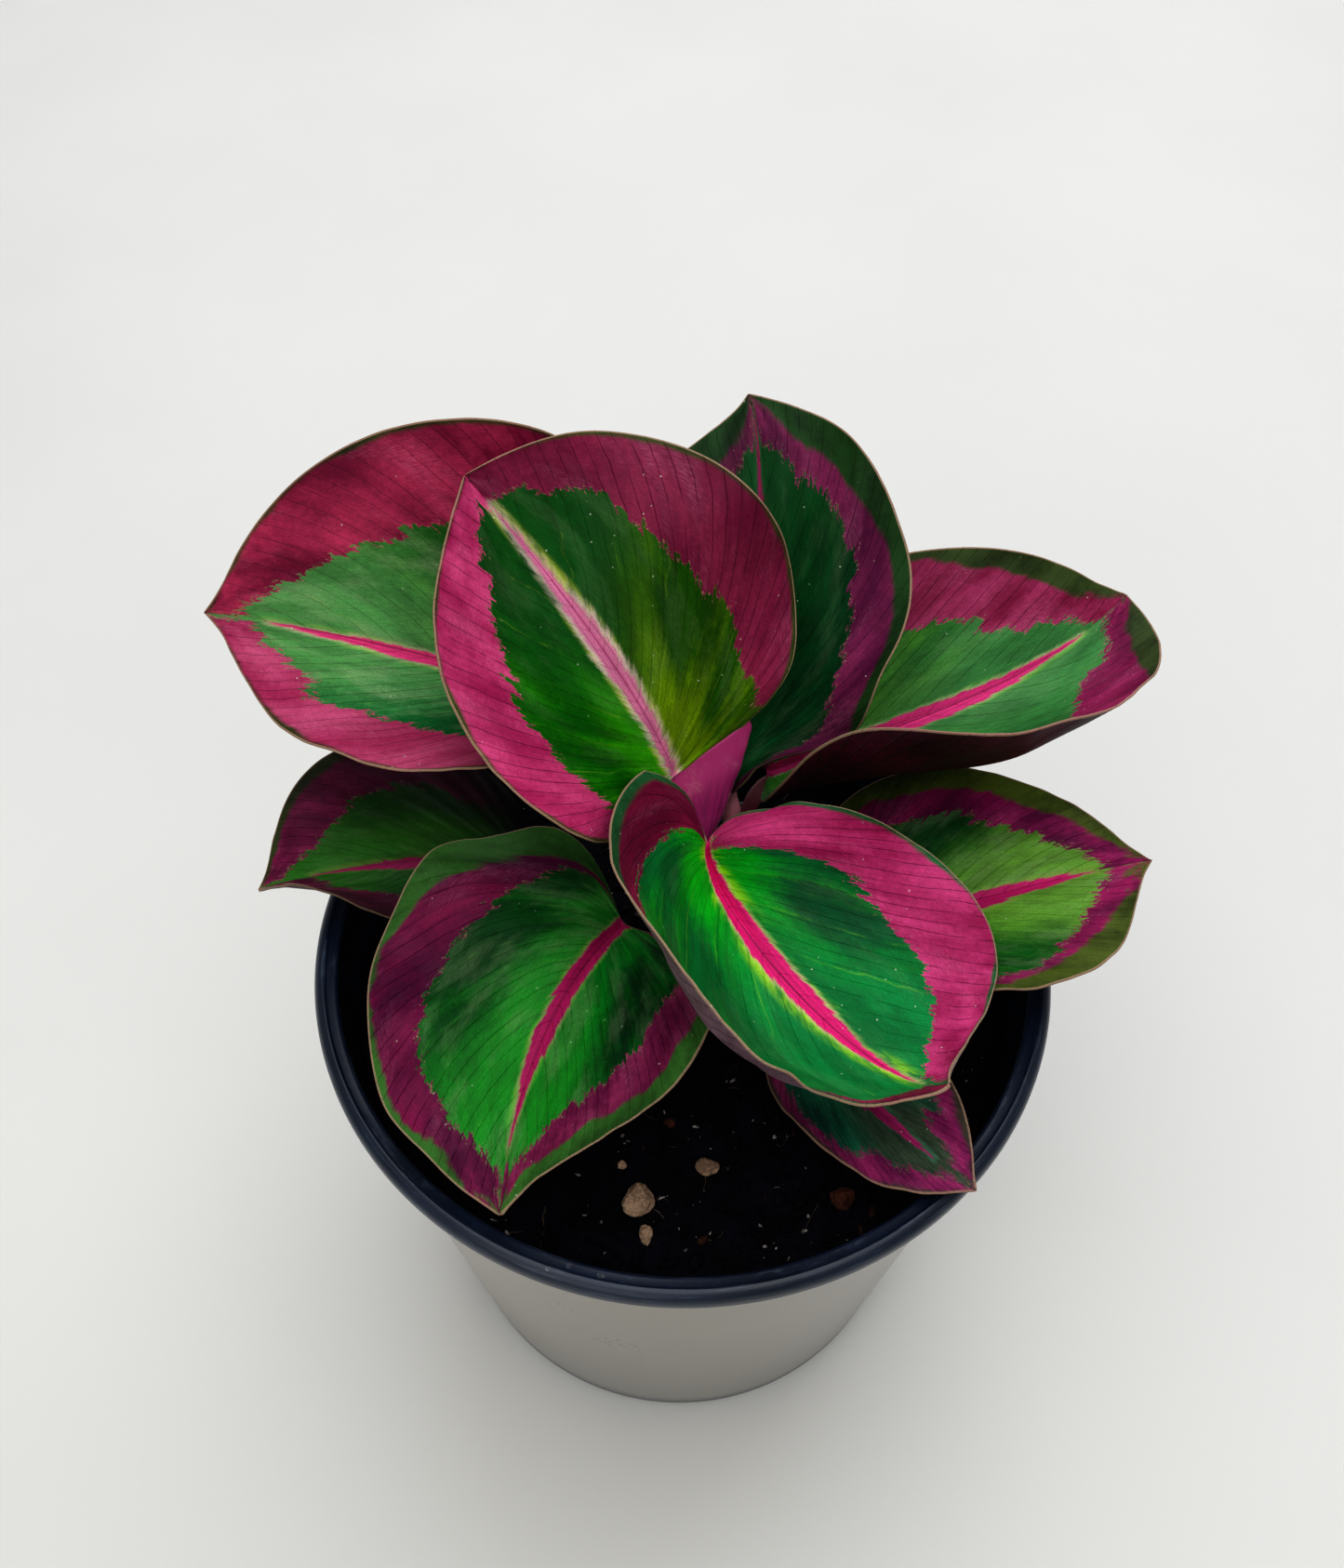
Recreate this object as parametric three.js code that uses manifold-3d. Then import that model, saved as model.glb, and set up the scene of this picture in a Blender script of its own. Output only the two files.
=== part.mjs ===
// A small painted calathea growing in a plain 12 cm nursery pot.
// Millimetres, +Z up. The origin is the middle of the pot's underside.
import * as THREE from "three";
import { mergeVertices } from "three/addons/utils/BufferGeometryUtils.js";
import Module from "manifold-3d";

// ---------------------------------------------------------------- driving dimensions

const POT = {
  height: 98,
  rimRadius: 60,
  rimWidth: 4,
  rimDepth: 4,
  footRadius: 43.5,
  heelRadius: 1.5,
  footRingWidth: 4,
  wall: 1,
  floorRise: 2.5,
  discRadius: 20,
  lipRadius: 1.4,
  rimEdge: 2,
  mouthEdge: 0.8,
  ledgeRise: 0.4,
  segments: 60,
};

const DRAIN = { count: 6, radius: 4, ringRadius: 29, depth: 20, segments: 16 };

const SOIL = { edge: 83.5, mound: 85, relief: 0.3, heel: 2, gap: 0.3, rings: 6, segments: 48 };

const CROWN = {
  radius: 9.5, top: 87, bottom: 76, chamfer: 1.5, heel: 3, heelRise: 4, gap: 0.3, segments: 24,
};

// `slimBy`, `jointAt` and `taperFrom` are places along a stalk, 0 at the crown and 1 under the
// blade. `rise` and `approach` are how far it keeps its first and last direction, as shares of
// its reach, and `heelVein` is the place on the midrib that it ends under.
const STALK = {
  radius: 1.5, neck: 1.1, joint: 1.4, tip: 0.7,
  slimBy: 0.6, jointAt: 0.88, jointSpan: 0.07, taperFrom: 0.92,
  rise: 0.4, approach: 0.35, heelVein: 0.05,
  seatRing: 5.3, gap: 0.3, sides: 10, steps: 13,
};

// A vein is a number from 0 at the base to 1 at the tip. `ribPower` above 1 starts the veins
// nearer the base than they end, `lobeSpan` is how far up the veins the lobes reach, and
// `dripPower` how suddenly the tip is drawn out.
const BLADE = {
  thickness: 0.7, rib: 0.7, ribPower: 1.25, lobeSpan: 0.13, dripPower: 12, veins: 14, veinCrowding: 1.3,
};

// Columns of a blade's mesh, as shares of the way from the midrib to the margin.
const BLADE_COLUMNS = [0.07, 0.3, 0.54, 0.78, 1];

const COLOURS = {
  pot: 0xb9b4ad,
  soil: 0x14110f,
  crown: 0x4a2c26,
  stalk: 0x7a2a44,
  blade: 0x1f6b2c,
  pumice: 0xb59a7d,
  bark: 0x5b3626,
};

// Each leaf. The midrib is a Bezier curve from `base` through two handles to `tip`. `face` is the
// way the upper side looks, as azimuth (0 = +Y, 90 = +X) and elevation in degrees, at the base
// and at the tip. `half` is the half width, left and right of the midrib, seen from above with
// the tip ahead. `widest` moves the widest place (1 is halfway, less is nearer the base), and
// `pointed` above 1 makes the ends narrower. `lobe` is how far each half reaches behind the
// base, and `drip` the length of the pointed tip as a share of the blade. `fold` is how far each
// half tilts up from the midrib and `curl` how much further it has turned at the margin, in
// degrees at base, middle and tip. `ripple` is the margin's wave: height, waves and phase.
// `seat` is the stalk's place on the crown, an angle on its ring, or null in the middle, and
// `lead` the way it comes in under the blade, where that isn't halfway between up and the midrib.
const LEAVES = [
  {
    name: "left_back",
    seat: 135,
    base: [-14, 20, 135], handles: [[-35, 23, 141], [-56, 27.5, 143.5]], tip: [-75, 33.5, 140],
    face: { base: [200, 63], tip: [198, 48] },
    half: { left: 23, right: 37.5 }, widest: 0.77, pointed: 1.15, lobe: { left: 2, right: 2.5 }, drip: 0.08,
    fold: { left: [28, 20, -4], right: [12, 14, 18] },
    curl: { left: [50, 27, 10], right: [3, 19, 12] },
    ripple: { left: [0.3, 2, 0], right: [-0.6, 2, 0] },
  },
  {
    name: "centre",
    seat: null,
    lead: [0, 0.58, 0.81],
    base: [-1.5, 13.5, 125.5], handles: [[-7, 17, 142.5], [-22, 30, 156]], tip: [-32, 33.5, 169],
    face: { base: [149, 43], tip: [143, 46] },
    half: { left: 29.5, right: 32 }, widest: 0.93, pointed: 0.95, lobe: { left: 1.5, right: 0.5 }, drip: 0.06,
    fold: { left: [17, 13, 18], right: [9, 12, -1] },
    curl: { left: [30, 20, 4], right: [-8, 7, -4] },
    ripple: { left: [-0.1, 2, 0], right: [-2.2, 3, 0.1] },
  },
  {
    name: "back_right",
    seat: 90,
    base: [7, 16, 117.5], handles: [[5, 32, 119.5], [16.5, 51, 145.5]], tip: [10, 72.5, 151.5],
    face: { base: [202, 38], tip: [189, 48] },
    half: { left: 25.5, right: 27 }, widest: 1, pointed: 1.1, lobe: { left: 2, right: 2 }, drip: 0.07,
    fold: { left: [10, 8, -2], right: [29, 6, 6] },
    curl: { left: [5, 7, 10], right: [-19, 27, 12] },
    ripple: { left: [0, 2, 0], right: [2.3, 3, 0] },
  },
  {
    name: "right_upper",
    seat: 45,
    base: [13.5, 23, 114], handles: [[32, 30, 116], [61.5, 39.5, 117.5]], tip: [76, 57, 121],
    face: { base: [200, 74], tip: [200, 75] },
    half: { left: 27.5, right: 31 }, widest: 0.86, pointed: 0.95, lobe: { left: 2, right: 7 }, drip: 0.06,
    fold: { left: [13, 13, 25], right: [23, 2, 20] },
    curl: { left: [5, 12, 27], right: [122, 99, 40] },
    ripple: { left: [0.1, 3, 0], right: [0.5, 3, 0] },
  },
  {
    name: "right_lower",
    seat: 0,
    base: [22, -2, 102.5], handles: [[41.5, 1, 106.5], [58, 7.5, 106.5]], tip: [77.5, 13, 104],
    face: { base: [180, 90], tip: [180, 83] },
    half: { left: 25, right: 24.5 }, widest: 0.87, pointed: 1.15, lobe: { left: 2, right: 2 }, drip: 0.09,
    fold: { left: [11, 4, 7], right: [20, 15, 0] },
    curl: { left: [5, 4, 1], right: [28, 22, 8] },
    ripple: { left: [-0.3, 3, 0.1], right: [0.6, 3, 0.1] },
  },
  {
    name: "front_right",
    seat: 270,
    lead: [0.2, 0.15, 1],
    base: [3.5, 4, 118.5], handles: [[3.5, -10.5, 122.5], [29.5, -37, 112]], tip: [36.5, -39, 124.5],
    face: { base: [159, 64], tip: [108, 62] },
    half: { left: 31.5, right: 34 }, widest: 1.12, pointed: 1, lobe: { left: 5, right: 9 }, drip: 0.04,
    fold: { left: [68, 6, 3], right: [49.5, 2.5, 31.5] },
    curl: { left: [-81, 2, -7], right: [-4, 90, 14.5] },
    ripple: { left: [0.1, 2, 0], right: [-1.5, 3, 0.57] },
  },
  {
    name: "front_left",
    seat: 225,
    base: [-9.5, -3.5, 109], handles: [[-20, -17, 113], [-26, -34.5, 107]], tip: [-26, -50.5, 105.5],
    face: { base: [201, 79], tip: [203, 79] },
    half: { left: 27.5, right: 29.5 }, widest: 0.75, pointed: 1.05, lobe: { left: 2, right: 4 }, drip: 0.08,
    fold: { left: [17, 12, 28], right: [37, 3, 10] },
    curl: { left: [17, 24, 19], right: [-47, 14, 19] },
    ripple: { left: [-0.5, 2, 0], right: [3.4, 4, -0.1] },
  },
  {
    name: "left_low",
    seat: 180,
    base: [-27.5, 17.5, 98.5], handles: [[-43, 14.5, 100.5], [-57.5, 8.5, 107]], tip: [-69, 5.5, 104],
    face: { base: [180, 82], tip: [180, 98] },
    half: { left: 21.5, right: 22 }, widest: 0.98, pointed: 1.05, lobe: { left: 2, right: 2 }, drip: 0.07,
    fold: { left: [10, 17, 44], right: [10, 13, 3] },
    curl: { left: [5, 23, 33], right: [5, 13, 22] },
    ripple: { left: [-0.2, 2, 0], right: [0.3, 2, -0.1] },
  },
  {
    name: "front_small",
    seat: 315,
    base: [17, -12.5, 91.5], handles: [[27, -25, 96], [32.5, -34.5, 100]], tip: [43, -44.5, 101.5],
    face: { base: [200, 75], tip: [200, 76] },
    half: { left: 12, right: 11.5 }, widest: 0.93, pointed: 1.1, lobe: { left: 2, right: 1.5 }, drip: 0.07,
    fold: { left: [10, 5, 7], right: [7, 10, 5] },
    curl: { left: [5, 3, 8], right: [-3, 19, 3] },
    ripple: { left: [-0.1, 2, 0], right: [-0.5, 2, -0.1] },
  },
];

// The upright leaf's stalk spreads into a wide sheath under the blade's right half, as far as
// the margin's place on one vein.
const SHEATH = { leaf: "centre", vein: 0.115, thickness: 0.6, start: 0.6 };

// How a stone differs from a ball: two slow waves over its surface and a flat underside.
const LUMPS = { height: 0.14, alongX: 7, alongY: 6, shift: 2, ridgeHeight: 0.08, ridges: 9, underside: -0.3 };

// Loose pieces lying on the mix: middle, size along X, Y and Z, and turn in degrees.
const STONES = [
  { name: "pumice_large", at: [-6.8, -39], size: [5.8, 5.6, 4], turn: 20, colour: COLOURS.pumice },
  { name: "pumice_small", at: [4, -33.5], size: [3.8, 3, 2.4], turn: 5, colour: COLOURS.pumice },
  { name: "pumice_narrow", at: [-5.5, -44.5], size: [2, 3.6, 2], turn: -10, colour: COLOURS.pumice },
  { name: "bark_chip", at: [25, -38.5], size: [5, 3.6, 1.8], turn: 35, colour: COLOURS.bark },
  { name: "grit_front", at: [-1.9, -26], size: [2.2, 2, 1.5], turn: 50, colour: COLOURS.bark },
  { name: "grit_left", at: [-9.5, -33], size: [2, 1.7, 1.4], turn: 0, colour: COLOURS.pumice },
];

// ---------------------------------------------------------------- small helpers

const radians = THREE.MathUtils.degToRad;
const vector = ([x, y, z]) => new THREE.Vector3(x, y, z);

/** Unit vector for an azimuth (0 = +Y, 90 = +X) and an elevation, in degrees. */
function direction([azimuth, elevation]) {
  const flat = Math.cos(radians(elevation));
  const turn = radians(azimuth);
  return new THREE.Vector3(Math.sin(turn) * flat, Math.cos(turn) * flat, Math.sin(radians(elevation)));
}

/** Value at x in 0..1 that eases from the first to the second to the third number. */
function eased([first, middle, last], x) {
  const ease = (s) => s * s * (3 - 2 * s);
  if (x < 0.5) return first + (middle - first) * ease(2 * x);
  return middle + (last - middle) * ease(2 * x - 1);
}

/** A named mesh with its own plain material. */
function piece(name, geometry, colour, roughness) {
  const material = new THREE.MeshStandardMaterial({ color: colour, roughness, metalness: 0 });
  geometry.computeVertexNormals();
  const mesh = new THREE.Mesh(geometry, material);
  mesh.name = name;
  return mesh;
}

/** Solid of revolution about +Z from a profile of [radius, height] points. */
function turned(profile, segments) {
  const points = profile.map(([radius, height]) => new THREE.Vector2(radius, height));
  const geometry = new THREE.LatheGeometry(points, segments);
  geometry.rotateX(Math.PI / 2);
  return closed(geometry);
}

/** The same surface with shared vertices merged and flattened triangles left out. */
function closed(geometry) {
  geometry.deleteAttribute("normal");
  geometry.deleteAttribute("uv");
  const merged = mergeVertices(geometry, 1e-4);
  const source = merged.index.array;
  const kept = [];
  for (let i = 0; i < source.length; i += 3) {
    const [a, b, c] = [source[i], source[i + 1], source[i + 2]];
    if (a !== b && b !== c && c !== a) kept.push(a, b, c);
  }
  merged.setIndex(kept);
  return merged;
}

/** Points of an arc in a profile, from one angle to another in degrees. */
function arc([x, y], radius, from, to, steps) {
  const points = [];
  for (let i = 0; i <= steps; i++) {
    const angle = radians(from + ((to - from) * i) / steps);
    points.push([x + radius * Math.cos(angle), y + radius * Math.sin(angle)]);
  }
  return points;
}

// ---------------------------------------------------------------- cutting solids

const wasm = await Module();
wasm.setup();

function toSolid(geometry) {
  return new wasm.Manifold(
    new wasm.Mesh({
      numProp: 3,
      vertProperties: new Float32Array(geometry.attributes.position.array),
      triVerts: new Uint32Array(geometry.index.array),
    }),
  );
}

function fromSolid(solid) {
  const mesh = solid.getMesh();
  const geometry = new THREE.BufferGeometry();
  geometry.setAttribute("position", new THREE.BufferAttribute(new Float32Array(mesh.vertProperties), 3));
  geometry.setIndex([...mesh.triVerts]);
  return geometry;
}

// ---------------------------------------------------------------- pot

const wallTopRadius = POT.rimRadius - POT.rimWidth + POT.wall;
const wallTop = POT.height - POT.rimDepth;

/** Outer radius of the sloped wall at a height. */
function wallRadius(height) {
  const share = (height - POT.heelRadius) / (wallTop - POT.heelRadius);
  return POT.footRadius + (wallTopRadius - POT.footRadius) * share;
}

/** Inner radius of the sloped wall at a height. */
const innerRadius = (height) => wallRadius(height) - POT.wall;

function potProfile() {
  const { rimRadius, rimWidth, height, wall, floorRise, discRadius, heelRadius, footRadius } = POT;
  const { lipRadius, rimEdge, mouthEdge } = POT;
  const ringInner = footRadius - heelRadius - POT.footRingWidth;
  const ledge = wallTop + POT.ledgeRise;
  return [
    [0, 0],
    [discRadius, 0],
    [discRadius + floorRise, floorRise],
    [ringInner - floorRise, floorRise],
    [ringInner, 0],
    ...arc([footRadius - heelRadius, heelRadius], heelRadius, -90, 0, 4),
    [wallTopRadius, ledge],
    [rimRadius - lipRadius, ledge],
    ...arc([rimRadius - lipRadius, wallTop + lipRadius], lipRadius, -60, 0, 3),
    ...arc([rimRadius - rimEdge, height - rimEdge], rimEdge, 0, 80, 4),
    ...arc([rimRadius - rimWidth + mouthEdge, height - 1.5 * mouthEdge], mouthEdge, 90, 180, 3),
    [innerRadius(wallTop - wall), wallTop - wall],
    [innerRadius(2 * heelRadius), 2 * heelRadius],
    [ringInner + wall, wall],
    [ringInner, wall],
    [ringInner - floorRise, floorRise + wall],
    [discRadius + floorRise, floorRise + wall],
    [discRadius, wall],
    [0, wall],
  ];
}

function potGeometry() {
  let shell = toSolid(turned(potProfile(), POT.segments));
  for (let i = 0; i < DRAIN.count; i++) {
    const angle = (2 * Math.PI * i) / DRAIN.count;
    const drill = new THREE.CylinderGeometry(DRAIN.radius, DRAIN.radius, DRAIN.depth, DRAIN.segments);
    drill.rotateX(Math.PI / 2);
    drill.translate(DRAIN.ringRadius * Math.cos(angle), DRAIN.ringRadius * Math.sin(angle), 0);
    shell = shell.subtract(toSolid(closed(drill)));
  }
  return fromSolid(shell);
}

// ---------------------------------------------------------------- mix and crown

/** Height of the mix's surface at a place. */
function soilHeight(x, y) {
  const radius = Math.hypot(x, y);
  const pocket = CROWN.radius + CROWN.gap;
  const share = THREE.MathUtils.clamp((radius - pocket) / (innerRadius(SOIL.edge) - pocket), 0, 1);
  const slope = THREE.MathUtils.lerp(SOIL.mound, SOIL.edge, share);
  const angle = Math.atan2(y, x);
  const waves = Math.sin(3 * angle + 0.08 * radius) + Math.sin(5 * angle - 0.15 * radius);
  return slope + SOIL.relief * waves * Math.sin(Math.PI * share);
}

function soilGeometry() {
  const { gap, edge, mound, heel, rings, segments } = SOIL;
  const base = POT.floorRise + POT.wall + gap;
  const pocket = CROWN.radius + CROWN.gap;
  const outer = innerRadius(edge) - gap;
  const surface = [];
  for (let i = 1; i <= rings; i++) {
    surface.push([outer + ((pocket - outer) * i) / rings, mound]);
  }
  const profile = [
    [0, base],
    [innerRadius(base) - gap - heel, base],
    [innerRadius(base + heel) - gap, base + heel],
    [outer, edge],
    ...surface,
    [pocket, CROWN.bottom - gap],
    [0, CROWN.bottom - gap],
  ];
  const geometry = turned(profile, segments);
  const places = geometry.attributes.position;
  for (let i = 0; i < places.count; i++) {
    if (places.getZ(i) > edge - 1) places.setZ(i, soilHeight(places.getX(i), places.getY(i)));
  }
  return geometry;
}

function crownGeometry() {
  const { radius, top, bottom, chamfer, heel, heelRise, segments } = CROWN;
  const profile = [
    [0, bottom],
    [radius - heel, bottom],
    [radius, bottom + heelRise],
    [radius, top - chamfer],
    [radius - chamfer, top],
    [0, top],
  ];
  return turned(profile, segments);
}

// ---------------------------------------------------------------- leaf surface

/** Point of a Bezier curve of four points at s. */
function bezier(points, s) {
  const r = 1 - s;
  const weights = [r * r * r, 3 * r * r * s, 3 * r * s * s, s * s * s];
  return points.reduce((sum, point, i) => sum.addScaledVector(point, weights[i]), new THREE.Vector3());
}

/** Speed of a Bezier curve of four points at s. */
function bezierSpeed(points, s) {
  const r = 1 - s;
  const weights = [-3 * r * r, 3 * r * r - 6 * r * s, 6 * r * s - 3 * s * s, 3 * s * s];
  return points.reduce((sum, point, i) => sum.addScaledVector(point, weights[i]), new THREE.Vector3());
}

/** The leaf's midrib as Bezier points, with its length. */
function midrib(leaf) {
  const points = [leaf.base, ...leaf.handles, leaf.tip].map(vector);
  const steps = 40;
  let length = 0;
  for (let i = 0; i < steps; i++) {
    length += bezier(points, i / steps).distanceTo(bezier(points, (i + 1) / steps));
  }
  return { points, length };
}

/** Midrib point, tangent, upper-side normal and leftward side at x, 0 at the base, 1 at the tip. */
function midribFrame(leaf, rib, x) {
  const s = THREE.MathUtils.clamp(x, 0, 1);
  const speed = bezierSpeed(rib.points, s);
  const place = bezier(rib.points, s).addScaledVector(speed, x - s);
  const tangent = speed.clone().normalize();
  const look = direction(leaf.face.base).lerp(direction(leaf.face.tip), s);
  const normal = look.addScaledVector(tangent, -look.dot(tangent)).normalize();
  const left = new THREE.Vector3().crossVectors(normal, tangent);
  return { place, tangent, normal, left };
}

/** How far along and across the flat blade a vein is at a share of its way to the margin. */
function flatPlace(leaf, rib, hand, vein, share) {
  const { lobeSpan, dripPower, ribPower } = BLADE;
  const drip = leaf.drip * vein ** dripPower;
  const start = rib.length * ((1 - leaf.drip) * vein ** ribPower + drip);
  const swell = (vein / lobeSpan) * Math.exp(1 - vein / lobeSpan) * (1 - vein);
  const reach = (1 - leaf.drip) * (0.5 - 0.5 * Math.cos(Math.PI * vein)) + drip;
  const end = rib.length * reach - leaf.lobe[hand] * swell;
  const width = Math.max(Math.sin(Math.PI * vein ** leaf.widest), 0) ** leaf.pointed;
  return { along: start + (end - start) * share, across: leaf.half[hand] * width * share };
}

/**
 * Point and normal of the blade's middle surface. The half blade bends as an arc across its
 * width: it leaves the midrib at the fold angle and turns by the curl angle up to the margin.
 */
function bladePoint(leaf, rib, vein, share, side) {
  const hand = side > 0 ? "left" : "right";
  const { along, across } = flatPlace(leaf, rib, hand, vein, share);
  const x = along / rib.length;
  const frame = midribFrame(leaf, rib, x);
  const nearX = THREE.MathUtils.clamp(x, 0, 1);
  const fold = radians(eased(leaf.fold[hand], nearX));
  const bend = radians(eased(leaf.curl[hand], nearX)) / leaf.half[hand];
  const bendSafe = Math.abs(bend) < 1e-5 ? 1e-5 : bend;
  const turn = fold + bendSafe * across;
  const out = (Math.sin(turn) - Math.sin(fold)) / bendSafe;
  const up = (Math.cos(fold) - Math.cos(turn)) / bendSafe;
  const [height, waves, phase] = leaf.ripple[hand];
  const swing = Math.sin(2 * Math.PI * (waves * vein + phase));
  const wave = height * share ** 2 * swing * Math.sin(Math.PI * vein);
  const tilt = share === 0 ? 0 : turn;
  const sideways = frame.left.clone().multiplyScalar(side);
  const normal = frame.normal.clone().multiplyScalar(Math.cos(tilt));
  normal.addScaledVector(sideways, -Math.sin(tilt));
  const place = frame.place
    .addScaledVector(sideways, out)
    .addScaledVector(frame.normal, up)
    .addScaledVector(normal, wave);
  return { place, normal };
}

// ---------------------------------------------------------------- blade solid

/** Rows of upper and lower points across the blade, from the right margin to the left. */
function bladeRows(leaf, rib, raise, lower) {
  const columns = [...BLADE_COLUMNS].reverse().map((share) => [share, -1]);
  columns.push([0, 1], ...BLADE_COLUMNS.map((share) => [share, 1]));
  const rows = [];
  for (let i = 0; i <= BLADE.veins; i++) {
    const vein = (i / BLADE.veins) ** BLADE.veinCrowding;
    const pole = i === 0 || i === BLADE.veins;
    const shares = pole ? [[0, 1]] : columns;
    const row = shares.map(([share, side]) => {
      const { place, normal } = bladePoint(leaf, rib, vein, share, side);
      const ridge = share === 0 && !pole ? BLADE.rib * (1 - vein) : 0;
      return {
        upper: place.clone().addScaledVector(normal, raise),
        under: place.clone().addScaledVector(normal, -lower - ridge),
      };
    });
    rows.push(row);
  }
  return rows;
}

/** Closed shell from rows of upper and under points whose first and last rows are one point. */
function shellGeometry(rows) {
  const positions = [];
  const index = [];
  const add = (point) => positions.push(point.x, point.y, point.z) / 3 - 1;
  const upper = rows.map((row) => row.map((cell) => add(cell.upper)));
  const under = rows.map((row) => row.map((cell) => add(cell.under)));
  const width = rows[1].length;
  const at = (grid, i, j) => (grid[i].length === 1 ? grid[i][0] : grid[i][j]);
  const triangle = (a, b, c) => {
    if (a !== b && b !== c && c !== a) index.push(a, b, c);
  };
  const quad = (a, b, c, d) => {
    triangle(a, b, c);
    triangle(a, c, d);
  };
  for (let i = 0; i < rows.length - 1; i++) {
    for (let j = 0; j < width - 1; j++) {
      quad(at(upper, i, j), at(upper, i, j + 1), at(upper, i + 1, j + 1), at(upper, i + 1, j));
      quad(at(under, i, j), at(under, i + 1, j), at(under, i + 1, j + 1), at(under, i, j + 1));
    }
    quad(at(under, i, 0), at(upper, i, 0), at(upper, i + 1, 0), at(under, i + 1, 0));
    const last = width - 1;
    quad(at(upper, i, last), at(under, i, last), at(under, i + 1, last), at(upper, i + 1, last));
  }
  const geometry = new THREE.BufferGeometry();
  geometry.setAttribute("position", new THREE.Float32BufferAttribute(positions, 3));
  geometry.setIndex(index);
  return outward(geometry);
}

/** The same closed surface with its faces pointing out. */
function outward(geometry) {
  const index = geometry.index.array;
  const places = geometry.attributes.position;
  const [a, b, c] = [new THREE.Vector3(), new THREE.Vector3(), new THREE.Vector3()];
  let volume = 0;
  for (let i = 0; i < index.length; i += 3) {
    a.fromBufferAttribute(places, index[i]);
    b.fromBufferAttribute(places, index[i + 1]);
    c.fromBufferAttribute(places, index[i + 2]);
    volume += a.dot(b.cross(c));
  }
  if (volume < 0) geometry.setIndex([...index].reverse());
  return geometry;
}

function bladeGeometry(leaf) {
  const half = BLADE.thickness / 2;
  return shellGeometry(bladeRows(leaf, midrib(leaf), half, half));
}

// ---------------------------------------------------------------- stalk solid

/** Closed tube through rings of points, with a flat cap at each end. */
function loftGeometry(rings) {
  const positions = [];
  const index = [];
  const sides = rings[0].length;
  for (const ring of rings) {
    for (const point of ring) positions.push(point.x, point.y, point.z);
  }
  for (let i = 0; i < rings.length - 1; i++) {
    for (let j = 0; j < sides; j++) {
      const next = (j + 1) % sides;
      const [a, b] = [i * sides + j, i * sides + next];
      const [c, d] = [a + sides, b + sides];
      index.push(a, b, d, a, d, c);
    }
  }
  const lastRing = (rings.length - 1) * sides;
  for (let j = 1; j < sides - 1; j++) {
    index.push(0, j + 1, j);
    index.push(lastRing, lastRing + j, lastRing + j + 1);
  }
  const geometry = new THREE.BufferGeometry();
  geometry.setAttribute("position", new THREE.Float32BufferAttribute(positions, 3));
  geometry.setIndex(index);
  return outward(geometry);
}

/** Where a stalk stands on the crown. */
function stalkFoot(leaf) {
  const ring = leaf.seat === null ? 0 : STALK.seatRing;
  const angle = radians(leaf.seat ?? 0);
  return new THREE.Vector3(ring * Math.cos(angle), ring * Math.sin(angle), CROWN.top + STALK.gap);
}

/** Half thickness of a plain stalk at s, 0 at the crown and 1 under the blade. */
function stalkRadius(s) {
  const slim = THREE.MathUtils.lerp(STALK.radius, STALK.neck, Math.min(s / STALK.slimBy, 1));
  const swell = (STALK.joint - STALK.neck) * Math.exp(-(((s - STALK.jointAt) / STALK.jointSpan) ** 2));
  const taper = THREE.MathUtils.smoothstep(s, STALK.taperFrom, 1);
  return THREE.MathUtils.lerp(slim + swell, STALK.tip, taper);
}

/** Where and how a stalk ends under its blade: place, way in, and spread across it. */
function stalkEnd(leaf, rib) {
  const { tangent, left } = midribFrame(leaf, rib, 0);
  const lead = (leaf.lead ? vector(leaf.lead) : tangent.lerp(new THREE.Vector3(0, 0, 1), 0.5)).normalize();
  const clear = BLADE.thickness / 2 + STALK.gap;
  if (leaf.name !== SHEATH.leaf) {
    const { place, normal } = bladePoint(leaf, rib, STALK.heelVein, 0, 1);
    const top = place.addScaledVector(normal, -(clear + BLADE.rib + STALK.tip));
    return { top, lead, across: left, spread: STALK.tip, thickness: STALK.tip };
  }
  const base = vector(leaf.base);
  const { place: margin, normal } = bladePoint(leaf, rib, SHEATH.vein, 1, -1);
  const across = margin.clone().sub(base);
  const spread = across.length() / 2;
  const top = base.add(margin).multiplyScalar(0.5);
  top.addScaledVector(normal, -(clear + BLADE.rib + SHEATH.thickness));
  return { top, lead, across: across.normalize(), spread, thickness: SHEATH.thickness };
}

/** A stalk: straight up off the crown, then in along the midrib's underside. */
function stalkGeometry(leaf) {
  const rib = midrib(leaf);
  const end = stalkEnd(leaf, rib);
  const foot = stalkFoot(leaf);
  const reach = foot.distanceTo(end.top);
  const first = foot.clone().add(new THREE.Vector3(0, 0, STALK.rise * reach));
  const second = end.top.clone().addScaledVector(end.lead, -STALK.approach * reach);
  const path = [foot, first, second, end.top];
  const sheathed = leaf.name === SHEATH.leaf;
  const rings = [];
  for (let i = 0; i <= STALK.steps; i++) {
    const s = i / STALK.steps;
    const centre = bezier(path, s);
    const tangent = bezierSpeed(path, s).normalize();
    const across = end.across.clone().addScaledVector(tangent, -end.across.dot(tangent)).normalize();
    const through = new THREE.Vector3().crossVectors(tangent, across);
    const opening = sheathed ? THREE.MathUtils.smoothstep(s, SHEATH.start, 1) : 0;
    const radius = sheathed ? STALK.radius : stalkRadius(s);
    const wide = THREE.MathUtils.lerp(radius, end.spread, opening);
    const thick = THREE.MathUtils.lerp(radius, end.thickness, opening);
    const ring = [];
    for (let j = 0; j < STALK.sides; j++) {
      const angle = (2 * Math.PI * j) / STALK.sides;
      const point = centre.clone().addScaledVector(across, wide * Math.cos(angle));
      ring.push(point.addScaledVector(through, thick * Math.sin(angle)));
    }
    rings.push(ring);
  }
  return trimmed(loftGeometry(rings), leaf, rib);
}

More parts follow.
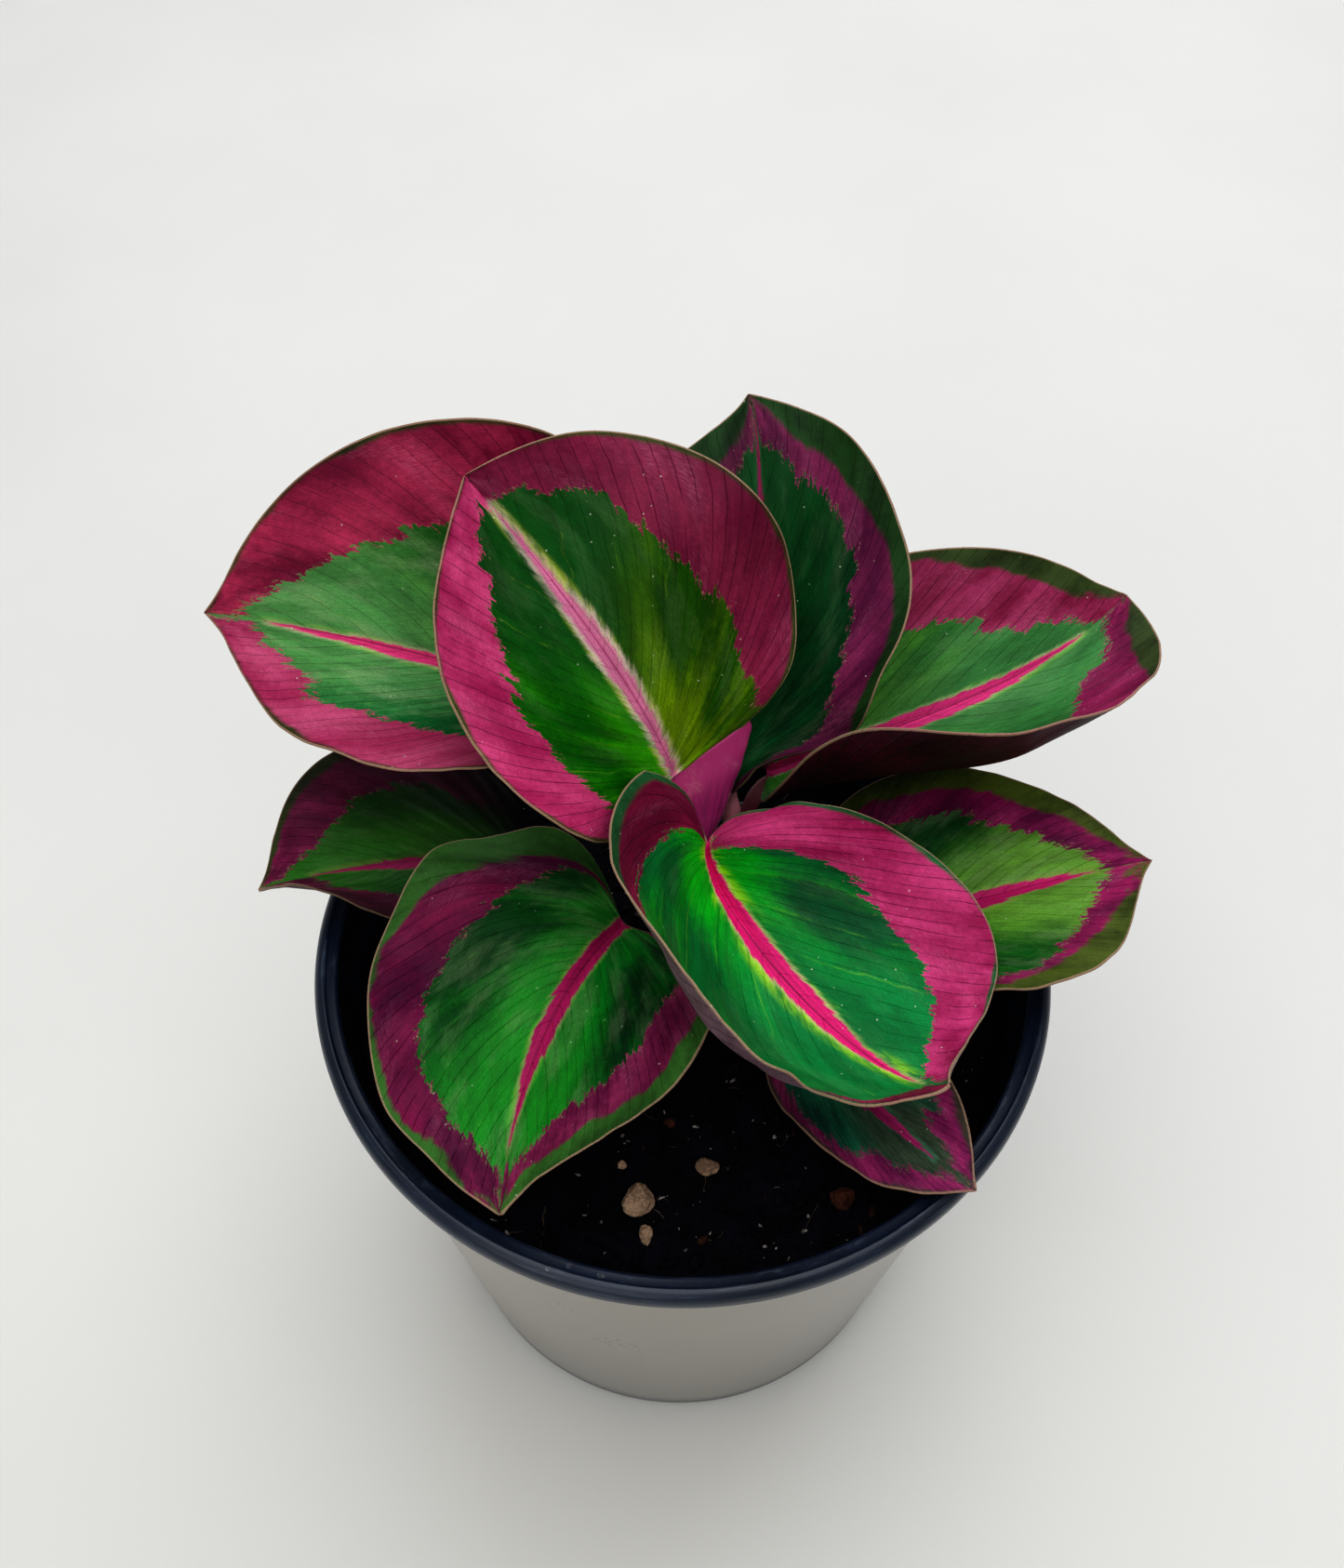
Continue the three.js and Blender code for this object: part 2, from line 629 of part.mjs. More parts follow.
/** The stalk with whatever comes nearer than the gap to its blade, or above it, cut away. */
function trimmed(geometry, leaf, rib) {
  const half = BLADE.thickness / 2;
  const above = 4;
  const room = shellGeometry(bladeRows(leaf, rib, half + above, half + STALK.gap));
  const pieces = toSolid(geometry).subtract(toSolid(room)).decompose();
  pieces.sort((a, b) => b.volume() - a.volume());
  return fromSolid(pieces[0]);
}

// ---------------------------------------------------------------- stones

/** A lumpy stone lying on the mix with a flat underside. */
function stoneGeometry(stone, number) {
  const geometry = closed(new THREE.IcosahedronGeometry(0.5, 1));
  const { height: lumpHeight, alongX, alongY, shift, ridgeHeight, ridges, underside } = LUMPS;
  const places = geometry.attributes.position;
  const [width, depth, height] = stone.size;
  for (let i = 0; i < places.count; i++) {
    const [x, y, z] = [places.getX(i), places.getY(i), places.getZ(i)];
    const wave = Math.sin(alongX * x + number) * Math.cos(alongY * y - shift * number);
    const lump = 1 + lumpHeight * wave + ridgeHeight * Math.sin(ridges * z);
    places.setXYZ(i, x * width * lump, y * depth * lump, Math.max(z * lump, underside) * height);
  }
  geometry.rotateZ(radians(stone.turn));
  const [x, y] = stone.at;
  const reach = Math.max(width, depth) / 2;
  const ground = Math.max(
    soilHeight(x, y), soilHeight(x + reach, y), soilHeight(x - reach, y),
    soilHeight(x, y + reach), soilHeight(x, y - reach),
  );
  geometry.translate(x, y, ground + SOIL.gap - underside * height);
  return geometry;
}

// ---------------------------------------------------------------- assembly

const plant = new THREE.Group();
for (const leaf of LEAVES) {
  plant.add(piece(`blade_${leaf.name}`, bladeGeometry(leaf), COLOURS.blade, 0.4));
  plant.add(piece(`stalk_${leaf.name}`, stalkGeometry(leaf), COLOURS.stalk, 0.5));
}
plant.add(piece("crown", crownGeometry(), COLOURS.crown, 0.8));

const bed = new THREE.Group();
bed.add(piece("soil", soilGeometry(), COLOURS.soil, 0.95));
STONES.forEach((stone, number) => {
  bed.add(piece(stone.name, stoneGeometry(stone, number), stone.colour, 0.9));
});

const pottedCalathea = new THREE.Group();
pottedCalathea.add(piece("pot", potGeometry(), COLOURS.pot, 0.45), bed, plant);

export default pottedCalathea;
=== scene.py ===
"""A small painted calathea in a 12 cm nursery pot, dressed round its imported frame.

Lengths in the classes are millimetres in the frame's own axes, +Z up, and MM turns them into
metres when a mesh is made. A blade is a function of two numbers: the vein, 0 at the base and 1
at the tip, and the share of the way from the midrib to the margin.
"""
import logging
import math
from dataclasses import dataclass
from enum import Enum

import bpy
import numpy as np
from mathutils import Matrix, Vector


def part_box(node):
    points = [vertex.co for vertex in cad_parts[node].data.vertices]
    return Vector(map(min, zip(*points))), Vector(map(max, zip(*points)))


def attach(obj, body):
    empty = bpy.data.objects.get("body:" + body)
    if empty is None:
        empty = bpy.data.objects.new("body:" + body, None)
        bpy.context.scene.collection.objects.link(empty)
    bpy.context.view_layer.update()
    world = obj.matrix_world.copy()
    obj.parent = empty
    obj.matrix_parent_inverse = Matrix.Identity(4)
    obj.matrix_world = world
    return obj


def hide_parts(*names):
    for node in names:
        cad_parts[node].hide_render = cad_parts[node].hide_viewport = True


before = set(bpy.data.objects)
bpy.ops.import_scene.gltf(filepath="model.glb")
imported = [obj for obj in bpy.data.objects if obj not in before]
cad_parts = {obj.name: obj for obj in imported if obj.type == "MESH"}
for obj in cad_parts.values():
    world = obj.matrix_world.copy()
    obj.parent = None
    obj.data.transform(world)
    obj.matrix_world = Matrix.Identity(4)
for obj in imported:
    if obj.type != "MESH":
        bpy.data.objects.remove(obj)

Array = np.ndarray
Triple = tuple[float, float, float]
Five = tuple[float, float, float, float, float]
Socket = bpy.types.NodeSocket
Tree = bpy.types.NodeTree
Material = bpy.types.Material
Piece = bpy.types.Object

MM = 0.001
BODY = "root"
log = logging.getLogger("calathea")


# ---- arrays


def unit(vectors: Array) -> Array:
    """The same vectors at length one."""
    return vectors / np.linalg.norm(vectors, axis=-1, keepdims=True)


def direction(azimuth: float, elevation: float) -> Array:
    """Unit vector for an azimuth (0 = +Y, 90 = +X) and an elevation, in degrees."""
    turn, rise = math.radians(azimuth), math.radians(elevation)
    return np.array([math.sin(turn) * math.cos(rise), math.cos(turn) * math.cos(rise), math.sin(rise)])


def around(count: int) -> Array:
    """Angles evenly round a circle, in radians."""
    return np.linspace(0, 2 * np.pi, count, endpoint=False)


def smoothstep(x: Array, low: float = 0.0, high: float = 1.0) -> Array:
    """0 below low, 1 above high, and 3s^2 - 2s^3 between them."""
    s = np.clip((x - low) / (high - low), 0, 1)
    return s * s * (3 - 2 * s)


def eased(values: Triple, x: Array) -> Array:
    """Value that eases from the first to the second to the third number.

    Args:
        values: the numbers at x = 0, 0.5 and 1.
        x: where it is wanted, in 0..1.

    Returns:
        The values, in x's shape.
    """
    first, middle, last = values
    rise, fall = smoothstep(x, 0, 0.5), smoothstep(x, 0.5, 1)
    return first + (middle - first) * rise + (last - middle) * fall


def through(values: Five, x: Array) -> Array:
    """A smooth curve through five numbers at x = 0.1, 0.3, 0.5, 0.7 and 0.9.

    Between knots b and c, with neighbours a and d and s from 0 to 1, the value is
    b + s (c - a) / 2 + s^2 (a - 5b/2 + 2c - d/2) + s^3 (3b - 3c + d - a) / 2.

    Args:
        values: the five numbers.
        x: where it is wanted.

    Returns:
        The values, in x's shape.
    """
    knots = np.array([2 * values[0] - values[1], *values, 2 * values[4] - values[3]])
    place = np.clip((x - 0.1) / 0.2, 0, 4)
    i = np.minimum(place.astype(int), 3)
    s = place - i
    a, b, c, d = knots[i], knots[i + 1], knots[i + 2], knots[i + 3]
    squared, cubed = a - 2.5 * b + 2 * c - d / 2, (3 * b - 3 * c + d - a) / 2
    return b + s * (c - a) / 2 + s**2 * squared + s**3 * cubed


def cell_value(cells: Array, seed: int) -> Array:
    """A repeatable number in -1..1 for each whole-number cell: the fraction of a large sine."""
    mixed = cells @ np.array([127.1, 311.7, 74.7]) + 53.9 * seed
    return 2 * np.mod(np.sin(mixed) * 43758.5453, 1.0) - 1


def noise(points: Array, size: float, octaves: int = 1, seed: int = 0) -> Array:
    """Smooth noise in about -1..1.

    Each octave blends the eight corner values of the point's cell by smoothstep weights, and has
    half the size and half the height of the one before.

    Args:
        points: (..., 3) places.
        size: size of the largest cells.
        octaves: number of layers.
        seed: which noise it is.

    Returns:
        One value for each place.
    """
    total = np.zeros(points.shape[:-1])
    for octave in range(octaves):
        scaled = points * 2.0**octave / size
        cell = np.floor(scaled)
        share = smoothstep(scaled - cell)
        value = np.zeros(points.shape[:-1])
        for corner in np.ndindex(2, 2, 2):
            offset = np.array(corner, float)
            weight = np.prod(np.where(offset > 0, share, 1 - share), axis=-1)
            value += weight * cell_value(cell + offset, seed + 31 * octave)
        total += value * 0.5**octave
    return total


def curve_place(points: Array, s: Array) -> Array:
    """Places at s in 0..1 on the curve of four points weighted (1-s)^3, 3s(1-s)^2, 3s^2(1-s), s^3."""
    weights = [(1 - s)**3, 3 * (1 - s) * (1 - s) * s, 3 * (1 - s) * s * s, s**3]
    return np.stack(weights, axis=-1) @ points


def curve_speed(points: Array, s: Array) -> Array:
    """Speed at s along that curve: the edges between its points weighted 3(1-s)^2, 6s(1-s), 3s^2."""
    weights = [3 * (1 - s) * (1 - s), 6 * (1 - s) * s, 3 * s * s]
    return np.stack(weights, axis=-1) @ np.diff(points, axis=0)


# ---- meshes


def make_object(name: str, vertices: Array, faces: list, materials: list[Material],
                face_material: Array | None = None) -> Piece:
    """A smooth mesh object at the origin.

    Args:
        name: the piece's name.
        vertices: (count, 3) places in millimetres.
        faces: vertex numbers of each face.
        materials: the material slots.
        face_material: slot number of each face, or None for the first.

    Returns:
        The object.
    """
    mesh = bpy.data.meshes.new(name)
    mesh.from_pydata(vertices * MM, [], faces)
    for material in materials:
        mesh.materials.append(material)
    if face_material is not None:
        mesh.polygons.foreach_set("material_index", face_material.astype(np.int32))
    mesh.shade_smooth()
    mesh.update()
    made = bpy.data.objects.new(name, mesh)
    bpy.context.scene.collection.objects.link(made)
    return made


def set_attribute(piece: Piece, name: str, values: Array) -> None:
    """Stores one number or one vector for each vertex of a piece."""
    kind, key = ("FLOAT", "value") if values.ndim == 1 else ("FLOAT_VECTOR", "vector")
    piece.data.attributes.new(name, kind, "POINT").data.foreach_set(key, values.astype(np.float32).ravel())


def ring_faces(rows: int, columns: int) -> tuple[Array, Array, Array]:
    """Faces of a tube of rings with a pole vertex before the first ring and after the last.

    Vertex 0 is the first pole, ring i column j is 1 + i * columns + j, and the last vertex is
    the other pole.

    Args:
        rows, columns: number of rings and of points in each.

    Returns:
        Quads (row by row), first fan and last fan, as vertex numbers.
    """
    j = np.arange(columns)
    after = (j + 1) % columns
    start = 1 + columns * np.arange(rows - 1)[:, None]
    quads = np.stack([start + j, start + after, start + columns + after, start + columns + j], axis=-1)
    last = 1 + (rows - 1) * columns
    first_fan = np.stack([np.zeros_like(j), 1 + after, 1 + j], axis=-1)
    last_fan = np.stack([np.full_like(j, last + columns), last + j, last + after], axis=-1)
    return quads.reshape(-1, 4), first_fan, last_fan


def skin(name: str, rings: Array, poles: tuple[Array, Array], materials: list[Material],
         column_material: Array | None = None) -> Piece:
    """A closed surface over rings of points, closed by a pole at each end.

    The faces are turned over if the volume they enclose, a sixth of the sum of a . (b x c) over
    their triangles, is negative.

    Args:
        name: the piece's name.
        rings: (rows, columns, 3) places in millimetres.
        poles: the places before the first ring and after the last.
        materials: the material slots.
        column_material: slot number of the faces in each column, or None for the first.

    Returns:
        The object.
    """
    rows, columns = rings.shape[:2]
    vertices = np.concatenate([poles[0][None], rings.reshape(-1, 3), poles[1][None]])
    quads, first_fan, last_fan = ring_faces(rows, columns)
    triangles = np.concatenate([quads[:, [0, 1, 2]], quads[:, [0, 2, 3]], first_fan, last_fan])
    a, b, c = (vertices[triangles[:, k]] for k in range(3))
    if np.einsum("ij,ij->", a, np.cross(b, c)) < 0:
        quads, first_fan, last_fan = quads[:, ::-1], first_fan[:, ::-1], last_fan[:, ::-1]
    slots = None
    if column_material is not None:
        slots = np.concatenate([np.tile(column_material, rows - 1), column_material, column_material])
    faces = quads.tolist() + first_fan.tolist() + last_fan.tolist()
    return make_object(name, vertices, faces, materials, slots)


def turned(profile: Array, angle: Array) -> Array:
    """Rings of a body of revolution: radius times cosine and sine of the angle, and the height.

    Args:
        profile: (rows, 2) radius and height.
        angle: (columns,) angles in radians.

    Returns:
        (rows, columns, 3) places.
    """
    radius, height = profile[:, :1], profile[:, 1:]
    x, y = radius * np.cos(angle), radius * np.sin(angle)
    return np.stack([x, y, np.broadcast_to(height, x.shape)], axis=-1)


def with_poles(rings: Array, poles: tuple[Array, Array]) -> Array:
    """Per-vertex values in the order in which skin stores its vertices."""
    flat = rings.reshape(-1, *rings.shape[2:])
    return np.concatenate([poles[0][None], flat, poles[1][None]])


def globe(polar: Array, turn: Array) -> Array:
    """Unit vectors over a ball: sin(polar) cos(turn), sin(polar) sin(turn) and cos(polar)."""
    x, y = np.outer(np.sin(polar), np.cos(turn)), np.outer(np.sin(polar), np.sin(turn))
    return np.stack([x, y, np.outer(np.cos(polar), np.ones_like(turn))], axis=-1)


def tube_rings(path: Array, across: Array, wide: Array, thick: Array, sides: int) -> Array:
    """Rings of an oval section carried along a path.

    At each place the section is centre + across * wide * cos(angle) + through * thick *
    sin(angle), where across is set square to the path and through is square to both.

    Args:
        path: (rows, 3) middle line.
        across: (rows, 3) the way of the section's width.
        wide, thick: (rows,) half width and half thickness.
        sides: points in each ring.

    Returns:
        (rows, sides, 3) places.
    """
    tangent = unit(np.gradient(path, axis=0))
    across = unit(across - tangent * np.sum(across * tangent, axis=-1, keepdims=True))
    through_way = np.cross(tangent, across)
    angle = around(sides)
    outline = across[:, None] * np.cos(angle)[None, :, None] * wide[:, None, None]
    outline = outline + through_way[:, None] * np.sin(angle)[None, :, None] * thick[:, None, None]
    return path[:, None] + outline


# ---- shader helpers


def colour(code: str) -> tuple[float, float, float, float]:
    """Linear red, green, blue and alpha of a screen colour.

    Args:
        code: its screen values, such as "b4286e".

    Returns:
        The four numbers.
    """
    screen = np.array([int(code[i:i + 2], 16) / 255 for i in (0, 2, 4)])
    linear = np.where(screen <= 0.04045, screen / 12.92, ((screen + 0.055) / 1.055) ** 2.4)
    return (*linear.tolist(), 1.0)


class Graph:
    """Places and links the nodes of one shader tree.

    A value given to a method is a socket to link, or a number, vector or colour to set.
    """

    def __init__(self, tree: Tree) -> None:
        """Keeps the tree that the nodes go into."""
        self.tree = tree

    def feed(self, inputs: bpy.types.NodeInputs, values: dict) -> None:
        """Links or sets the inputs of a node.

        Args:
            inputs: the node's inputs.
            values: the values by name or number.
        """
        for key, value in values.items():
            if isinstance(value, Socket):
                self.tree.links.new(value, inputs[key])
            else:
                inputs[key].default_value = value

    def node(self, kind: str, *values: object, named: dict | None = None, **settings: object) -> bpy.types.Node:
        """A new node.

        Args:
            kind: its type.
            values: what goes to its first inputs, in order.
            named: what goes to others, by name or number.
            settings: its properties.

        Returns:
            The node.
        """
        made = self.tree.nodes.new(kind)
        for key, value in settings.items():
            setattr(made, key, value)
        self.feed(made.inputs, {**dict(enumerate(values)), **(named or {})})
        return made

    def math(self, operation: str, a: object, b: object = 0.0) -> Socket:
        """Result of a Math node."""
        return self.node("ShaderNodeMath", a, b, operation=operation).outputs[0]

    def times(self, a: object, b: object) -> Socket:
        """a times b."""
        return self.math("MULTIPLY", a, b)

    def plus(self, a: object, b: object) -> Socket:
        """a plus b."""
        return self.math("ADD", a, b)

    def minus(self, a: object, b: object) -> Socket:
        """a less b."""
        return self.math("SUBTRACT", a, b)

    def mix(self, share: object, first: object, second: object) -> Socket:
        """First colour at share 0, second at 1."""
        return self.node("ShaderNodeMix", share, named={6: first, 7: second}, data_type="RGBA").outputs[2]

    def over(self, base: object, code: str, share: object) -> Socket:
        """The base with a share of a colour laid over it."""
        return self.mix(share, base, colour(code))

    def between(self, share: object, first: str, second: str) -> Socket:
        """A blend of two colours written as screen values."""
        return self.mix(share, colour(first), colour(second))

    def scale_colour(self, shade: object, base: object) -> Socket:
        """A colour times a number."""
        return self.node("ShaderNodeVectorMath", base, named={"Scale": shade}, operation="SCALE").outputs[0]

    def smooth(self, value: object, low: object, high: object,
               start: object = 0.0, end: object = 1.0) -> Socket:
        """start below low, end above high, and smooth between them."""
        ends = (value, low, high, start, end)
        return self.node("ShaderNodeMapRange", *ends, interpolation_type="SMOOTHSTEP").outputs[0]

    def vector(self, x: object, y: object = 0.0, z: object = 0.0) -> Socket:
        """A vector from three numbers."""
        return self.node("ShaderNodeCombineXYZ", x, y, z).outputs[0]

    def parts(self, vector: Socket) -> list[Socket]:
        """The three numbers of a vector."""
        return list(self.node("ShaderNodeSeparateXYZ", vector).outputs)

    def attribute(self, name: str, output: str = "Vector") -> Socket:
        """A stored attribute of the piece: its Vector, or its Fac where it is a number."""
        return self.node("ShaderNodeAttribute", attribute_name=name).outputs[output]

    def noise(self, place: Socket, scale: object, detail: float = 2.0, rough: float = 0.5) -> Socket:
        """Noise in 0..1 over a place, with the strength of its finer octaves."""
        named = {"Vector": place, "Scale": scale, "Detail": detail, "Roughness": rough}
        return self.node("ShaderNodeTexNoise", named=named).outputs["Fac"]

    def chance(self, number: Socket) -> Socket:
        """A random number in 0..1 that is the same wherever the given number is."""
        return self.node("ShaderNodeTexWhiteNoise", named={"W": number}, noise_dimensions="1D").outputs["Value"]

    def cells(self, place: Socket, scale: object) -> bpy.types.Node:
        """A node that splits a place into random cells."""
        return self.node("ShaderNodeTexVoronoi", named={"Vector": place, "Scale": scale})

    def object_place(self) -> Socket:
        """Place on the piece in metres."""
        return self.node("ShaderNodeTexCoord").outputs["Object"]

    def group(self, tree: Tree, output: str, **values: object) -> Socket:
        """One output of a shader group, with its inputs fed by name."""
        return self.node("ShaderNodeGroup", named=values, node_tree=tree).outputs[output]

    def bump(self, height: Socket, distance: float) -> Socket:
        """Normal from a height in 0..1 that stands for a distance in millimetres."""
        named = {"Height": height, "Distance": distance * MM}
        return self.node("ShaderNodeBump", named=named).outputs["Normal"]


class Group(Graph):
    """The graph of one shader group."""

    def __init__(self, name: str, inputs: str, outputs: str) -> None:
        """Starts an empty group.

        Args:
            name: its name.
            inputs, outputs: names of its sockets, which are numbers, apart from Place.
        """
        super().__init__(bpy.data.node_groups.new(name, "ShaderNodeTree"))
        for way, keys in (("INPUT", inputs), ("OUTPUT", outputs)):
            for key in keys.split():
                kind = "NodeSocketVector" if key == "Place" else "NodeSocketFloat"
                self.tree.interface.new_socket(key, in_out=way, socket_type=kind)
        start = self.node("NodeGroupInput")
        self.given = {key: start.outputs[key] for key in inputs.split()}
        self.end = self.node("NodeGroupOutput")

    def finish(self, **results: Socket) -> Tree:
        """The finished group, with its outputs fed by name."""
        self.feed(self.end.inputs, results)
        return self.tree


class Surface(Graph):
    """The graph of one material, which ends in its Principled BSDF."""

    def __init__(self, name: str) -> None:
        """Starts the material of that name."""
        self.material = bpy.data.materials.new(name)
        self.material.use_nodes = True
        super().__init__(self.material.node_tree)

    def finish(self, base: Socket, rough: Socket, normal: Socket | None = None,
               fixed: dict[str, float] | None = None) -> Material:
        """Feeds the shader.

        Args:
            base: its colour.
            rough: its roughness.
            normal: its normal, or None for the mesh's own.
            fixed: inputs that are the same all over, by name.

        Returns:
            The material.
        """
        values = {"Base Color": base, "Roughness": rough, **(fixed or {})}
        if normal is not None:
            values["Normal"] = normal
        self.feed(self.tree.nodes["Principled BSDF"].inputs, values)
        return self.material


class Groups:
    """The shader groups that more than one material uses."""

    def __init__(self) -> None:
        """Builds each group once."""
        self.steps = self.vein_steps()
        self.lines = self.vein_lines()
        self.mottle = self.soft_mottle()
        self.grit = self.fine_grit()

    def vein_steps(self) -> Tree:
        """How far a painted edge moves, in millimetres.

        It drifts slowly, steps at every few veins and again at every vein, and is crinkled by
        noise over the blade and by barbs along the veins.

        Returns:
            The group.
        """
        g = Group("vein_steps", "Vein Share Count Height Fringe Seed", "Reach")
        vein, share, count, height, fringe, seed = g.given.values()
        offset = g.plus(g.times(g.math("SIGN", share), 57.0), seed)
        waver = g.times(g.noise(g.vector(share, seed), 3.0), 0.6)
        along = g.plus(g.times(vein, count), waver)
        coarse = g.chance(g.plus(g.math("FLOOR", along), offset))
        fine = g.chance(g.plus(g.math("FLOOR", g.times(along, 4.3)), g.plus(offset, 0.37)))
        drift = g.noise(g.vector(along, offset), 0.45, 1.0)
        step = g.plus(g.minus(drift, 0.5), g.times(g.minus(coarse, 0.5), 0.75))
        step = g.plus(step, g.times(g.minus(fine, 0.5), 0.4))
        crinkle = g.noise(g.vector(g.times(vein, 70.0), g.times(share, 26.0), offset), 1.0, 3.0, 0.7)
        barbs = g.noise(g.vector(g.times(vein, 170.0), g.times(share, 6.0), offset), 1.0, 2.0, 0.6)
        frayed = g.plus(g.times(g.minus(crinkle, 0.5), 2.2), g.minus(barbs, 0.5))
        return g.finish(Reach=g.plus(g.times(step, height), g.times(frayed, fringe)))

    def vein_lines(self) -> Tree:
        """1 on a thin line along each vein and 0 between, fading in and out along the blade.

        Returns:
            The group.
        """
        g = Group("vein_lines", "Vein Share Count Width Seed", "Line")
        vein, share, count, width, seed = g.given.values()
        waver = g.times(g.noise(g.vector(vein, share, seed), 7.0), 0.35)
        along = g.plus(g.times(vein, count), waver)
        line = g.smooth(g.math("PINGPONG", along, 0.5), 0.0, width, 1.0, 0.0)
        patchy = g.noise(g.vector(g.times(vein, 11.0), g.times(share, 2.5), seed), 2.0)
        return g.finish(Line=g.times(line, g.smooth(patchy, 0.3, 0.52)))

    def soft_mottle(self) -> Tree:
        """Two scales of cloudy noise blended, in 0..1.

        Returns:
            The group.
        """
        g = Group("soft_mottle", "Place Coarse Fine", "Value")
        place, coarse, fine = g.given.values()
        coarse_part = g.times(g.noise(place, coarse, 3.0), 0.6)
        return g.finish(Value=g.plus(coarse_part, g.times(g.noise(place, fine, 4.0, 0.6), 0.4)))

    def fine_grit(self) -> Tree:
        """Height of a gritty surface, small cells under fine noise, and a number for each cell.

        Returns:
            The group.
        """
        g = Group("fine_grit", "Place Scale", "Height Speck")
        place, scale = g.given.values()
        cells = g.cells(place, scale)
        rough = g.noise(place, scale, 5.0, 0.7)
        height = g.plus(g.times(cells.outputs["Distance"], 0.5), g.times(rough, 0.6))
        return g.finish(Height=height, Speck=cells.outputs["Color"])

    def cloud(self, g: Graph, coarse: float, fine: float) -> Socket:
        """Clouds over the piece, in 0..1, with the two scales given."""
        return g.group(self.mottle, "Value", Place=g.object_place(), Coarse=coarse, Fine=fine)


# ---- leaf finishes


@dataclass(frozen=True)
class HandPaint:
    """Colours of one half of a blade's upper side, as screen values.

    Args:
        band, band_deep: the rose band round the green, bright and shaded.
        green, green_deep: the green middle, bright and shaded.
    """

    band: str
    band_deep: str
    green: str
    green_deep: str


@dataclass(frozen=True)
class Streaks:
    """Noise stretched over a blade.

    Args:
        along, across: how often it changes from base to tip, and from midrib to margin.
        shift: moves it to another part of the noise.
        detail, rough: octaves, and how strong the finer ones are.
    """

    along: float
    across: float
    shift: float = 0.0
    detail: float = 3.0
    rough: float = 0.65


PATCHES = Streaks(7.0, 1.6, 4.0, 4.0, 0.62)
STREAKS = Streaks(24.0, 2.2, rough=0.6)
QUILT_SHADE_STREAKS = Streaks(8.0, 2.4, 9.0, 2.0, 0.5)
STRIAE = Streaks(190.0, 5.0)
HATCH = Streaks(48.0, 190.0)
GLOW_PATCHES = Streaks(10.0, 3.6, 2.0, 4.0)
SHEEN_PATCHES = Streaks(9.0, 4.2, 6.0, rough=0.6)


class BladeSurface(Surface):
    """The graph of one blade's upper side, with the patterns that its layers share."""

    def __init__(self, name: str, groups: Groups, seed: float) -> None:
        """Reads the blade's attributes and draws the shared patterns.

        Args:
            name: the material's name.
            groups: the shared shader groups.
            seed: the leaf's number.
        """
        super().__init__(name)
        self.groups, self.seed = groups, seed
        _, self.share, self.vein = self.parts(self.attribute("leaf_place"))
        self.green_mm, self.stripe_mm, self.rim_mm = self.parts(self.attribute("leaf_zones"))
        self.near = {"Vein": self.vein, "Share": self.share, "Seed": seed}
        self.on_left = self.smooth(self.share, -0.004, 0.004)
        self.patchy, self.hatch, self.striae = (self.streaked(kind) for kind in (PATCHES, HATCH, STRIAE))
        self.cloud = groups.cloud(self, 70.0, 900.0)
        # The tone picks each colour's bright or shaded form: random streaks and clouds, and in broad streaks
        # along the veins the painted light and shade of the quilted blade.
        tone = self.times(self.streaked(STREAKS), 0.22)
        tone = self.plus(tone, self.times(self.streaked(QUILT_SHADE_STREAKS), 0.48))
        self.tone = self.plus(tone, self.times(self.cloud, 0.4))
        self.fine_lines = self.lined(29.0, 0.05)

    def streaked(self, kind: Streaks) -> Socket:
        """Noise stretched over the blade, in 0..1."""
        along, across = self.times(self.vein, kind.along), self.times(self.share, kind.across)
        return self.noise(self.vector(along, across, self.seed + kind.shift), 1.0, kind.detail, kind.rough)

    def lined(self, count: float, width: float) -> Socket:
        """Thin lines along a number of veins, each a share of the gap between them wide."""
        return self.group(self.groups.lines, "Line", Count=count, Width=width, **self.near)

    def stepped(self, inside_mm: Socket, count: float, height: float, fringe: float) -> Socket:
        """Distance inside a painted zone whose edge steps from vein to vein and is crinkled."""
        steps = {"Count": count, "Height": height, "Fringe": fringe}
        return self.plus(inside_mm, self.group(self.groups.steps, "Reach", **steps, **self.near))

    def shaded(self, pattern: Socket, low: float, high: float, depth: float, base: Socket) -> Socket:
        """The base made darker and lighter by a depth, as the pattern goes from low to high."""
        return self.scale_colour(self.smooth(pattern, low, high, 1.0 - depth, 1.0 + depth), base)


